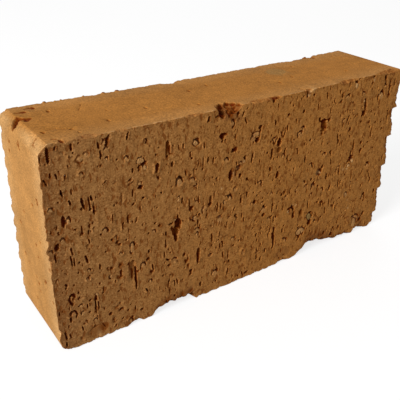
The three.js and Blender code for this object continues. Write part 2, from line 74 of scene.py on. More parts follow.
Tree = bpy.types.NodeTree
Setting = Union[Socket, float, int, str, tuple]
Point = tuple[float, float, float]
Window = tuple[slice, slice]

MM = 0.001
NODE = "brick"
BODY = "root"

log = logging.getLogger("brick")


class Seed(IntEnum):
    """What each part of the brick draws its chances and its noise with."""

    FRONT_ARRIS = 3
    BACK_ARRIS = 4
    FRONT_FACE = 11
    BACK_FACE = 12
    TORN_CLAY = 21
    SKINS = 31
    SKIN_MARKS = 41
    RIM = 51
    LIPS = 60


# ---- Overall size -----------------------------------------------------------------------------------


@dataclass(frozen=True)
class Block:
    """The brick's overall size in mm, with the floor at z = 0 and the middle at x = y = 0."""

    length: float
    thickness: float
    width: float

    @classmethod
    def of_node(cls, node: str) -> "Block":
        """The block that a CAD node fills."""
        low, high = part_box(node)
        return cls(*(float(side) / MM for side in high - low))

    @property
    def left(self) -> float:
        """The left end face's x."""
        return -self.length / 2

    @property
    def right(self) -> float:
        """The right end face's x."""
        return self.length / 2


# ---- Small tools on arrays ----------------------------------------------------------------------------


def ease(share: Array) -> Array:
    """Smooth step: 0 below 0, 1 above 1, and 3t^2 - 2t^3 between."""
    t = np.clip(share, 0.0, 1.0)
    return t * t * (3.0 - 2.0 * t)


def raise_map(values: Array, at: Union[Array, Window], share: Array) -> None:
    """Raises a map where the share is higher than what is there."""
    values[at] = np.maximum(values[at], share)


class Rows:
    """Anything that can be made from rows of its fields."""

    @classmethod
    def each(cls, *rows: tuple) -> list[Self]:
        """Makes one for each row of values."""
        return [cls(*row) for row in rows]


class ClayNoise:
    """Repeatable smooth noise: random values at whole-number places, eased between them."""

    PERIOD = 64

    def __init__(self, seed: int) -> None:
        """Draws the random values."""
        shape = (self.PERIOD, self.PERIOD, self.PERIOD)
        self.values = np.random.default_rng(seed).uniform(-1.0, 1.0, shape).astype(np.float32)

    def at(self, x: Array, y: Array, z: Array) -> Array:
        """Trilinear mix of the eight values round each point, with eased shares.

        Args:
            x, y, z: coordinates, in units of the noise's own size.

        Returns:
            Values from -1 to 1.
        """
        x, y, z = np.broadcast_arrays(x, y, z)
        low = [np.floor(axis).astype(np.int64) for axis in (x, y, z)]
        share = [ease(axis - start) for axis, start in zip((x, y, z), low)]
        total = np.zeros(x.shape)
        for corner in np.ndindex(2, 2, 2):
            index = tuple((start + step) % self.PERIOD for start, step in zip(low, corner))
            weight = np.ones(x.shape)
            for step, part in zip(corner, share):
                weight = weight * (part if step else 1.0 - part)
            total += weight * self.values[index]
        return total

    def layered(self, x: Array, y: Array, z: Array, octaves: int = 3) -> Array:
        """Sum of octaves, each half as large and half as strong as the one before, from -1 to 1."""
        total = sum(self.at(x * 2**n, y * 2**n + n, z * 2**n) / 2**n for n in range(octaves))
        return total / 1.5


# ---- The die's section ----------------------------------------------------------------------------------


@dataclass(frozen=True)
class DieCorner:
    """One corner of the die in mm. The end face bends in over `drop` and meets the long skin `run`
    from the end, drawn towards a point on the end face's line `crease` from the long skin."""

    drop: float
    run: float
    crease: float


@dataclass(frozen=True)
class DieSection:
    """The column's section across Y: a rectangle with bent corners and a slightly sunken top."""

    block: Block
    top: DieCorner = DieCorner(drop=5.4, run=4.6, crease=2.9)
    bottom: DieCorner = DieCorner(drop=9.0, run=8.0, crease=1.0)
    sag: float = 1.2
    zone: float = 16.0

    def bend(self, x: Array, z: Array) -> tuple[Array, Array]:
        """Bends a plain rectangle into the die's section.

        In a square `zone` wide at each corner, every point moves along its ray from the square's inner
        corner, by the ratio of the die's outline to the square's outline on that ray. Then all heights
        shrink by the top's sag, which is a parabola along the brick.

        Args:
            x, z: points of the rectangle, in mm.

        Returns:
            The bent x and z.
        """
        half = self.block.length / 2
        across = np.maximum(np.abs(x) - (half - self.zone), 0.0) / self.zone
        for corner, rise in (
            (self.top, np.maximum(z - (self.block.width - self.zone), 0.0) / self.zone),
            (self.bottom, np.maximum(self.zone - z, 0.0) / self.zone),
        ):
            ratio = self._ratio(corner, across, rise)
            moved_x = across * (ratio - 1.0) * self.zone
            moved_z = rise * (ratio - 1.0) * self.zone
            x = x + np.sign(x) * moved_x
            z = z + moved_z if corner is self.top else z - moved_z
        dip = self.sag * np.clip(1.0 - (x / (half - self.top.run)) ** 2, 0.0, 1.0)
        return x, z * (1.0 - dip / self.block.width)

    def _ratio(self, corner: DieCorner, across: Array, rise: Array) -> Array:
        """Die outline over square outline, along the ray of each point.

        Args:
            corner: the corner's sizes.
            across, rise: the point in its corner square, from 0 at the inner corner to 1.

        Returns:
            1 outside the corner, less inside it.
        """
        t = np.linspace(0.0, 1.0, 65)
        start = (1.0, 1.0 - corner.drop / self.zone)
        pull = (1.0, 1.0 - corner.crease / self.zone)
        end = (1.0 - corner.run / self.zone, 1.0)
        curve = np.outer((1 - t) ** 2, start) + np.outer(2 * t * (1 - t), pull) + np.outer(t**2, end)
        angle = np.arctan2(curve[:, 1], curve[:, 0])
        inside = (across > 0.0) & (rise > 0.0)
        ratio = np.interp(np.arctan2(rise, across), angle, curve.max(axis=1), left=1.0, right=1.0)
        return np.where(inside, ratio, 1.0)


# ---- Arrises -----------------------------------------------------------------------------------------


class Skin(Enum):
    """The four die skins, numbered as the distances to them are stacked."""

    LEFT = 0
    RIGHT = 1
    BOTTOM = 2
    TOP = 3


@dataclass(frozen=True)
class Stretch(Rows):
    """A stretch of arris, in mm.

    It runs from `start` to `end` along its skin (from the left end on top and bottom, from the floor on
    the ends), swells over `rise` and dies out over `fall`.
    """

    skin: Skin
    start: float
    end: float
    rise: float
    fall: float

    def share(self, place: Array) -> Array:
        """How far the stretch has swelled at each place along the skin, from 0 to 1."""
        return ease(np.minimum((place - self.start) / self.rise, (self.end - place) / self.fall))


@dataclass(frozen=True)
class Tear(Stretch):
    """Arris that tore away: `depth` mm are gone from the bed face and `reach` mm from the skin."""

    depth: float
    reach: float


@dataclass(frozen=True)
class Lip(Stretch):
    """Arris of an end where the wire drew the clay `out` mm past the end."""

    out: float


def drag_steps(
    tops: tuple[float, ...], depths: tuple[float, ...], skin: Skin, reach: float
) -> list[Tear]:
    """Steps that the wire leaves where it drags the last clay along an end and lets it go.

    Each step breaks in sharply at its top and runs out downwards to just above the next one.

    Args:
        tops: the height of each step's top, from the highest down.
        depths: how deep each step is.
        skin: the end that the steps are on.
        reach: how far they tear back into it.

    Returns:
        One tear for each step.
    """
    sharp, gap = 0.9, 1.5
    lengths = [high - low - gap for high, low in zip(tops, (*tops[1:], 0.0))]
    return [
        Tear(skin, top - length, top, length - sharp, sharp, depth, reach)
        for top, length, depth in zip(tops, lengths, depths)
    ]


FRONT_TEARS = [
    *Tear.each(
        (Skin.BOTTOM, 38, 49, 4, 4, 1.6, 3), (Skin.BOTTOM, 53, 84, 7, 3, 5, 8),
        (Skin.BOTTOM, 145, 155, 3, 3, 1.3, 2.5), (Skin.BOTTOM, 159, 202, 15, 23, 6.7, 9),
        (Skin.BOTTOM, 164, 218, 10, 9, 1.9, 3), (Skin.BOTTOM, 216, 232, 5, 7, 3.5, 4),
        (Skin.TOP, 8, 15, 3, 3, 0.2, 1.2), (Skin.TOP, 16, 32, 4, 9, 0.5, 3.4),
        (Skin.TOP, 35, 44, 4, 4, 0.2, 1.4), (Skin.TOP, 72, 86, 7, 3, 0.6, 2),
        (Skin.TOP, 93, 111, 3, 7, 3.6, 8), (Skin.TOP, 112, 139, 6, 7, 0.5, 2.4),
        (Skin.TOP, 155, 162, 1.2, 5.5, 1.8, 2.4), (Skin.TOP, 180, 200, 6, 8, 1.1, 2.5),
        (Skin.TOP, 214, 236, 8, 4, 1.2, 3), (Skin.LEFT, 53.5, 57.4, 2, 0.8, 0.4, 0.8),
        (Skin.RIGHT, 89, 111, 3, 5, 1.2, 2),
    ),
    *drag_steps((89, 69.5, 48, 30.5, 11), (3.7, 3.2, 3.0, 2.6, 2.0), Skin.RIGHT, 5),
]
FRONT_LIPS = Lip.each(
    (Skin.LEFT, 33, 54, 4, 2, 0.5), (Skin.LEFT, 57.2, 67, 0.8, 5, 1.1), (Skin.LEFT, 10, 17, 3, 3, -1.2),
    (Skin.LEFT, 63, 92, 4, 5, 0.45), (Skin.LEFT, 68, 78, 2, 3, 0.5), (Skin.LEFT, 94.5, 99, 1.5, 1.5, 0.7),
    (Skin.LEFT, 102, 110, 2, 2, 0.4), (Skin.RIGHT, 8, 93, 5, 2, 0.5),
)
BACK_TEARS = [
    *Tear.each(
        (Skin.TOP, 90, 104, 6, 6, 1, 3), (Skin.TOP, 176, 211, 14, 2, 0.7, 3),
        (Skin.BOTTOM, 96, 124, 10, 6, 2.2, 4), (Skin.BOTTOM, 188, 210, 5, 9, 1.8, 4),
    ),
    *drag_steps(
        (108, 95, 85, 75, 68, 60, 51, 41, 30, 21, 12),
        (1.0, 1.4, 1.1, 1.5, 1.2, 1.6, 1.3, 1.0, 1.5, 1.1, 1.3),
        Skin.LEFT,
        2.6,
    ),
]


@dataclass
class Arris:
    """The broken edge line round one bed face, in mm."""

    block: Block
    face_y: float
    tears: list[Tear]
    lips: list[Lip]
    seed: int
    wear: float = 0.35
    back: float = 0.5
    bare: float = 0.4
    ragged: float = 1.0
    grain: float = 1.7
    jag: float = 0.3
    lip_on_bed: float = 3.0
    lip_on_skin: float = 2.0
    lip_grain: float = 3.0
    core: float = 20.0

    def missing(self, x: Array, z: Array) -> tuple[Array, Array, Array, Array]:
        """What is gone from the arris nearest to each point.

        Base wear and each tear are both made uneven by noise at the foot of the point on the arris.

        Args:
            x, z: points of a bed face, or of a skin, on the plain rectangle.

        Returns:
            The depth taken off the bed face, the reach taken off the skin, the torn share, and how far
            from the bed face the skin itself is gone and bare clay shows.
        """
        gaps = np.stack((x - self.block.left, self.block.right - x, z, self.block.width - z))
        nearest = gaps.argmin(axis=0)
        foot_x = np.where(nearest == 0, self.block.left, np.where(nearest == 1, self.block.right, x))
        foot_z = np.where(nearest == 2, 0.0, np.where(nearest == 3, self.block.width, z))
        noise = ClayNoise(self.seed)
        rag = noise.layered(foot_x / self.grain, np.full_like(foot_x, self.face_y), foot_z / self.grain)
        uneven = 0.85 * np.maximum(1.0 + self.ragged * rag, 0.0) ** 2
        depth, reach = self.wear * uneven, self.back * uneven
        torn, bare = np.zeros_like(depth), self.bare * reach
        for tear in self.tears:
            upright = tear.skin in (Skin.LEFT, Skin.RIGHT)
            place = foot_z if upright else foot_x - self.block.left
            share = np.where(nearest == tear.skin.value, tear.share(place), 0.0)
            share = share * (0.9 + 0.15 * rag)
            depth = depth + tear.depth * share
            reach = reach + tear.reach * share
            bare = bare + tear.reach * share
            torn = np.maximum(torn, share * min(tear.depth / 2.0, 1.0))
        return depth, reach, torn, bare

    def cut_bed(self, points: Array) -> tuple[Array, Array]:
        """Moves the points of a bed face that lie on its broken arris.

        A point nearer to the edge than the missing depth d slides to halfway between its place and d,
        and sinks into the clay by half the missing reach, less the nearer it is to d.

        Args:
            points: bed face points on the plain block.

        Returns:
            The moved points, and how torn each one is.
        """
        x, z = points[:, 0], points[:, 2]
        depth, reach, torn, _ = self.missing(x, z)
        edge = np.minimum.reduce((x - self.block.left, self.block.right - x, z, self.block.width - z))
        near = edge < depth
        target = np.where(near, (edge + depth) / 2.0, edge)
        moved = self._towards_core(points, edge, target)
        sink = np.where(near, reach / 2.0 * (1.0 - edge / np.maximum(depth, 1e-6)), 0.0)
        moved[:, 1] -= np.sign(self.face_y) * sink
        return moved, torn * ease(1.3 + (depth - edge) / np.maximum(depth, 0.5))

    def cut_skin(self, points: Array) -> tuple[Array, Array, Array]:
        """Moves the points of the skins that lie on this broken arris.

        A point nearer to the bed face than the missing reach r slides back to halfway between its place
        and r, and moves inwards by half the missing depth, less the nearer it is to r.

        Args:
            points: skin points on the plain block.

        Returns:
            The moved points, how torn each one is, and how far each one shows cut clay.
        """
        depth, reach, torn, bare = self.missing(points[:, 0], points[:, 2])
        back = np.abs(points[:, 1] - self.face_y)
        near = back < reach
        inset = np.where(near, depth / 2.0 * (1.0 - back / np.maximum(reach, 1e-6)), 0.0)
        moved = self._towards_core(points, np.zeros_like(inset), inset)
        slide = np.where(near, (reach - back) / 2.0, 0.0)
        moved[:, 1] -= np.sign(self.face_y) * slide
        torn = torn * ease((reach - back) / np.maximum(reach, 0.5) * 2.5)
        return moved, torn, ease(0.5 + (bare - back) / 0.5)

    def drawn_out(self, points: Array) -> Array:
        """How far the arris of each end stands out from it, or lies back where the value is negative.

        Each lip is made uneven by noise along the arris. It fades out over `lip_on_bed` mm into the bed
        face and over `lip_on_skin` mm into the skin.

        Args:
            points: points of the plain block.

        Returns:
            The change of each point's x.
        """
        x, y, z = points.T
        rag = ClayNoise(self.seed + Seed.LIPS).layered(0.0 * z, 0.0 * z, z / self.lip_grain, 3)
        total = np.zeros(len(points))
        for skin, edge, side in (
            (Skin.LEFT, x - self.block.left, -1.0),
            (Skin.RIGHT, self.block.right - x, 1.0),
        ):
            near = np.hypot(edge / self.lip_on_bed, (y - self.face_y) / self.lip_on_skin)
            out = self.jag * rag
            for lip in self.lips:
                if lip.skin is skin:
                    out = out + lip.out * lip.share(z) * (0.9 + 0.5 * rag)
            total += side * out * ease(1.0 - near)
        return total

    def _towards_core(self, points: Array, edge: Array, target: Array) -> Array:
        """Moves points so that their distance to the edge changes from `edge` to `target`.

        Each point moves on its ray from a core rectangle that lies `core` inside the outline, so that
        corners keep their share of the points.

        Args:
            points: points of the plain block.
            edge, target: how far each one lies from the edge now, and how far it should.

        Returns:
            The moved points.
        """
        x, z = points[:, 0], points[:, 2]
        core_x = np.clip(x, self.block.left + self.core, self.block.right - self.core)
        core_z = np.clip(z, self.core, self.block.width - self.core)
        share = np.where(edge < self.core, (self.core - target) / np.maximum(self.core - edge, 1e-6), 1.0)
        moved = points.copy()
        moved[:, 0] = core_x + (x - core_x) * share
        moved[:, 2] = core_z + (z - core_z) * share
        return moved


# ---- Relief of the bed faces ---------------------------------------------------------------------------


class Plane(IntEnum):
    """Which plane of a face's noise makes each thing uneven."""

    MARKS = 0
    GATHERING = 3
    WAVES = 7
    STREAKS = 11
    LUMPS = 17
    ACROSS = 21
    UP = 31
    DEPTH = 41


class Relief:
    """Maps over one bed face, in mm: how deep the clay is pressed in, and where it differs.

    Marks are drawn in coordinates that are shifted by up to RAG mm, so that their outlines are ragged.
    EDGE is the slack round a mark's window, LIP a burr's height, and DARK_FROM the depth from which a
    hole is fully painted with shade. Burrs stand highest, and lumps are painted palest, partly as a
    highlight, as far as CRISP_TO from the left end, and then fade.
    """

    RAG = 0.24
    EDGE = 2.5
    LIP = 0.16
    DARK_FROM = 0.9
    CRISP_TO = 60.0
    CRISP_FADE = 110.0

    def __init__(self, x: Array, z: Array, seed: int) -> None:
        """Starts with a flat face.

        Args:
            x, z: where each point of the face's grid lies, from the left end and the floor.
            seed: the seed of the face's chances.
        """
        self.x, self.z = x, z
        self.chance = np.random.default_rng(seed)
        self.noise = ClayNoise(seed)
        self.across = self.x + self.RAG * self.pattern(Plane.ACROSS, wide=1.2, high=3.5)
        self.up = self.z + 1.5 * self.RAG * self.pattern(Plane.UP, wide=1.2, high=1.8)
        self.uneven = 1.1 + 0.45 * self.noise.at(self.x / 0.9, Plane.DEPTH, self.z / 1.2)
        # Burrs stand higher, and lumps get stronger painted highlights, towards the left end.
        self.highlight_boost = 1.4 - 0.5 * ease((self.x - self.CRISP_TO) / self.CRISP_FADE)
        self.depth, self.hollow, self.grain, self.torn, self.stone = (np.zeros(x.shape) for _ in range(5))

    def pattern(self, plane: Plane, wide: float, high: float, octaves: int = 2) -> Array:
        """Noise from -1 to 1 over the face, with features of a given width and height in mm."""
        return self.noise.layered(self.x / wide, plane, self.z / high, octaves)

    def window(self, x: float, z: float, half_x: float, half_z: float) -> Window:
        """The part of the maps round a mark.

        Args:
            x, z: the mark's middle.
            half_x, half_z: how far the mark reaches.

        Returns:
            Slices of the maps.
        """
        half_x, half_z = half_x + self.EDGE, half_z + self.EDGE
        middle = self.x.shape[0] // 2, self.x.shape[1] // 2
        columns = np.searchsorted(self.x[:, middle[1]], (x - half_x, x + half_x))
        rows = np.searchsorted(self.z[middle[0]], (z - half_z, z + half_z))
        return slice(*columns), slice(*rows)

    def wobble(self, at: Window, size: float) -> Array:
        """Noise from -1 to 1 over a window, of a given size in mm."""
        return self.noise.layered(self.x[at] / size, Plane.MARKS, self.z[at] / size, 2)

    def press(self, at: Window, depth: Array, dark: float = 1.0) -> None:
        """Presses a mark in: the deeper of the mark and what is there wins, and its floor is painted with
        shade, darker the deeper it is.

        Args:
            at: the window.
            depth: the mark's depth over it, in mm.
            dark: how much painted shade its floor gets, where 1 is the painted shade of a deep hole.
        """
        depth = depth * self.uneven[at]
        raise_map(self.depth, at, depth)
        # Painted shade: the floor's colour darkens with its depth.
        raise_map(self.hollow, at, dark * np.clip(depth / self.DARK_FROM, 0.0, 1.0))

    def raise_lip(self, at: Window, share: Array) -> None:
        """Raises a burr beside a mark where the clay is otherwise whole, highest towards the left end."""
        whole = 1.0 - ease(4.0 * self.depth[at])
        self.depth[at] -= self.LIP * self.highlight_boost[at] * share * whole * (1.0 + 0.6 * self.wobble(at, 1.1))


@dataclass(frozen=True)
class Mark(Rows):
    """Anything that is pressed into a bed face, `x` and `z` mm from its left end and the floor."""

    x: float
    z: float

    def press(self, relief: Relief) -> None:
        """Changes a relief's maps. Each kind of mark says how."""


@dataclass(frozen=True)
class LongMark(Mark):
    """A mark that is `length` mm high, `width` mm across and `depth` mm deep."""

    length: float
    width: float
    depth: float

    def spread(self, relief: Relief, at: Window) -> tuple[Array, Array]:
        """Each point's place from the middle, across in half widths and up in half lengths."""
        u = (relief.across[at] - self.x) / (self.width / 2)
        return u, (relief.up[at] - self.z) / (self.length / 2)


@dataclass(frozen=True)
class Slit(LongMark):
    """A narrow slit, cut by a grain that the wire dragged along.

    It stands upright, or leans by `lean` mm to the right for each mm that it climbs.
    """

    lean: float = 0.0

    def press(self, relief: Relief) -> None:
        """Depth falls off from the slit's middle line as 1 - u^2 - v^4, to the power 0.6."""
        at = relief.window(self.x, self.z, self.width + abs(self.lean) * self.length, self.length / 2 + 1)
        v = self.spread(relief, at)[1]
        middle = self.x + self.lean * (relief.up[at] - self.z)
        half = self.width / 2 * (1.1 + 0.3 * relief.wobble(at, 1.6))
        u = (0.5 * (relief.across[at] + relief.x[at]) - middle) / half
        inside = np.clip(1.0 - u**2 - v**4, 0.0, 1.0)
        relief.press(at, self.depth * inside**0.6)
        relief.raise_lip(at, ease((2.4 - np.abs(u)) / 0.8) * ease((1.15 - np.abs(v)) / 0.3))


@dataclass(frozen=True)
class Hollow(LongMark):
    """A torn pit: blunt and deep at its head, running out below, with a ragged rim."""

    # dark: how much painted shade the pit's floor gets.
    dark: float = 1.0
    ragged: float = 0.45
    head: float = 0.36

    def press(self, relief: Relief) -> None:
        """Depth is an uneven bowl, 1 - r^2 to the power 0.55, whose deepest point is near its head."""
        reach = 1.4
        at = relief.window(self.x, self.z, self.width / 2 * reach + 0.5, self.length / 2 * reach + 0.5)
        up = (relief.up[at] - self.z) / self.length + 0.5 - (1.0 - self.head)
        v = np.where(up > 0, up / self.head, up / (1.0 - self.head))
        u = self.spread(relief, at)[0]
        r2 = (u**2 + v**2) * (1.0 + self.ragged * relief.wobble(at, 1.6)) ** 2
        bowl = np.clip(1.0 - r2, 0.0, 1.0) ** 0.55
        relief.press(at, self.depth * bowl * (1.0 + 0.3 * relief.wobble(at, 0.9)), self.dark)


def pinholes(*rows: tuple[float, float, float, float]) -> list[Hollow]:
    """Small round holes, from each one's x, z, width and depth in mm."""
    return [Hollow(x, z, size, size, depth, ragged=0.35, head=0.5) for x, z, size, depth in rows]


@dataclass(frozen=True)
class Hook(Mark):
    """A gap that opened round one side of a lump when the wire pulled the lump along. Sizes in mm.

    The gap is centred `turn` degrees round from the right and covers `span` degrees.
    """

    size: float
    depth: float
    turn: float = 90.0
    span: float = 210.0
    tall: float = 1.0
    pale: float = 0.25

    def press(self, relief: Relief) -> None:
        """Depth is a round groove along part of a wobbly ring, and the lump inside is a low dome, painted
        paler, partly as a highlight, most towards the left end.
        """
        half = self.size / 2
        gap = 0.3 + 0.09 * self.size
        at = relief.window(self.x, self.z, half + 2 * gap, half * self.tall + 2 * gap)
        u = (relief.across[at] - self.x) / half
        v = (relief.up[at] - self.z) / (half * self.tall)
        r = np.hypot(u, v) * (1.0 + 0.18 * relief.wobble(at, 2.0))
        groove = np.clip(1.0 - ((r - 1.0) * half / gap) ** 2, 0.0, 1.0) ** 0.5
        away = np.cos(np.arctan2(v, u) - math.radians(self.turn))
        open_side = ease((away - math.cos(math.radians(self.span / 2))) / 0.6)
        lump = ease((1.0 - r) / 0.3)
        relief.depth[at] -= 0.09 * self.size * lump
        relief.press(at, 0.8 * self.depth * groove * open_side)
        relief.raise_lip(at, ease((1.3 + 2.0 * gap / half - r) / 0.3) * (1.0 - lump))
        # The lump is painted paler, partly as a highlight, most towards the left end.
        raise_map(relief.grain, at, self.pale * relief.highlight_boost[at] * lump)


@dataclass(frozen=True)
class Furrow(LongMark):
    """A shallow furrow with an arched head that runs out downwards."""

    # dark: how much painted shade the furrow's floor gets.
    dark: float = 0.6

    def press(self, relief: Relief) -> None:
        """Depth is a round trough, sharp at the head's arch and fading towards the foot."""
        at = relief.window(self.x, self.z, self.width, self.length / 2 + 0.5)
        u = (relief.across[at] - self.x - 0.3 * relief.wobble(at, 3.0)) / (self.width / 2)
        down = 0.5 - (relief.up[at] - self.z) / self.length
        arch = (down - 0.5 * self.width / self.length * u**2) * self.length
        trough = np.clip(1.0 - u**2, 0.0, 1.0) ** 0.7 * ease(arch / 0.8) * ease((1.0 - down) * 1.6)
        relief.press(at, self.depth * trough * (1.0 + 0.35 * relief.wobble(at, 1.2)), self.dark)


@dataclass(frozen=True)
class Scar(LongMark):
    """A shallow spall with a smooth, redder floor."""

    red: float = 0.75
    orange: float = 0.0

    def press(self, relief: Relief) -> None:
        """Depth is flat inside an uneven outline, with a steep rim."""
        at = relief.window(self.x, self.z, self.width * 0.75, self.length * 0.75)
        u, v = self.spread(relief, at)
        r = np.sqrt(u**2 + v**2) * (1.0 + 0.4 * relief.wobble(at, 4.0))
        inside = ease((1.0 - r) / 0.3)
        raise_map(relief.depth, at, self.depth * inside)
        raise_map(relief.torn, at, self.red * inside)
        # An orange tint of the spall's floor, kept in the map that elsewhere holds painted shade.
        raise_map(relief.hollow, at, self.orange * inside)


@dataclass(frozen=True)
class Stone(LongMark):
    """A pebble flush with the face, with a gap `depth` mm deep round its upper side."""

    pale: float = 0.5
    grey: bool = False

    def press(self, relief: Relief) -> None:
        """A gap round the top, then the pebble's own low, uneven dome inside it."""
        at = relief.window(self.x, self.z, self.width, self.length)
        u, v = self.spread(relief, at)
        r = np.sqrt(u**2 + v**2) * (1.0 + 0.45 * relief.wobble(at, 1.9))
        open_side = 0.35 + 0.65 * ease(0.5 + v)
        ring = ease((1.3 - r) / 0.2) * open_side
        pebble = ease((0.95 - r) / 0.15)
        relief.press(at, self.depth * ring * (1.0 - pebble))
        dome = 0.25 * r**2 - 0.15 + 0.35 * relief.wobble(at, 1.1)
        relief.depth[at] = relief.depth[at] * (1.0 - pebble) + pebble * dome
        relief.hollow[at] *= 1.0 - pebble
        raise_map(relief.stone if self.grey else relief.grain, at, self.pale * pebble)


@dataclass(frozen=True)
class Crumbs(LongMark):
    """A patch where the clay crumbled: small lumps and holes close together."""

    red: float = 0.45
    pale: float = 0.35

    def press(self, relief: Relief) -> None:
        """Fine noise, pressed in only inside the patch, with redder clay showing in its holes."""
        at = relief.window(self.x, self.z, self.width * 0.7, self.length * 0.7)
        u, v = self.spread(relief, at)
        inside = ease(1.6 - 1.6 * np.sqrt(u**2 + v**2) * (1.0 + 0.4 * relief.wobble(at, 3.0)))
        lumps = relief.wobble(at, 1.5)
        relief.press(at, self.depth * inside * np.clip(1.6 * lumps + 0.1, 0.0, 1.0))
        relief.depth[at] -= 0.3 * self.depth * inside * np.clip(-lumps, 0.0, 1.0)
        raise_map(relief.torn, at, self.red * inside)
        raise_map(relief.grain, at, self.pale * inside * ease((-lumps - 0.25) * 4.0))


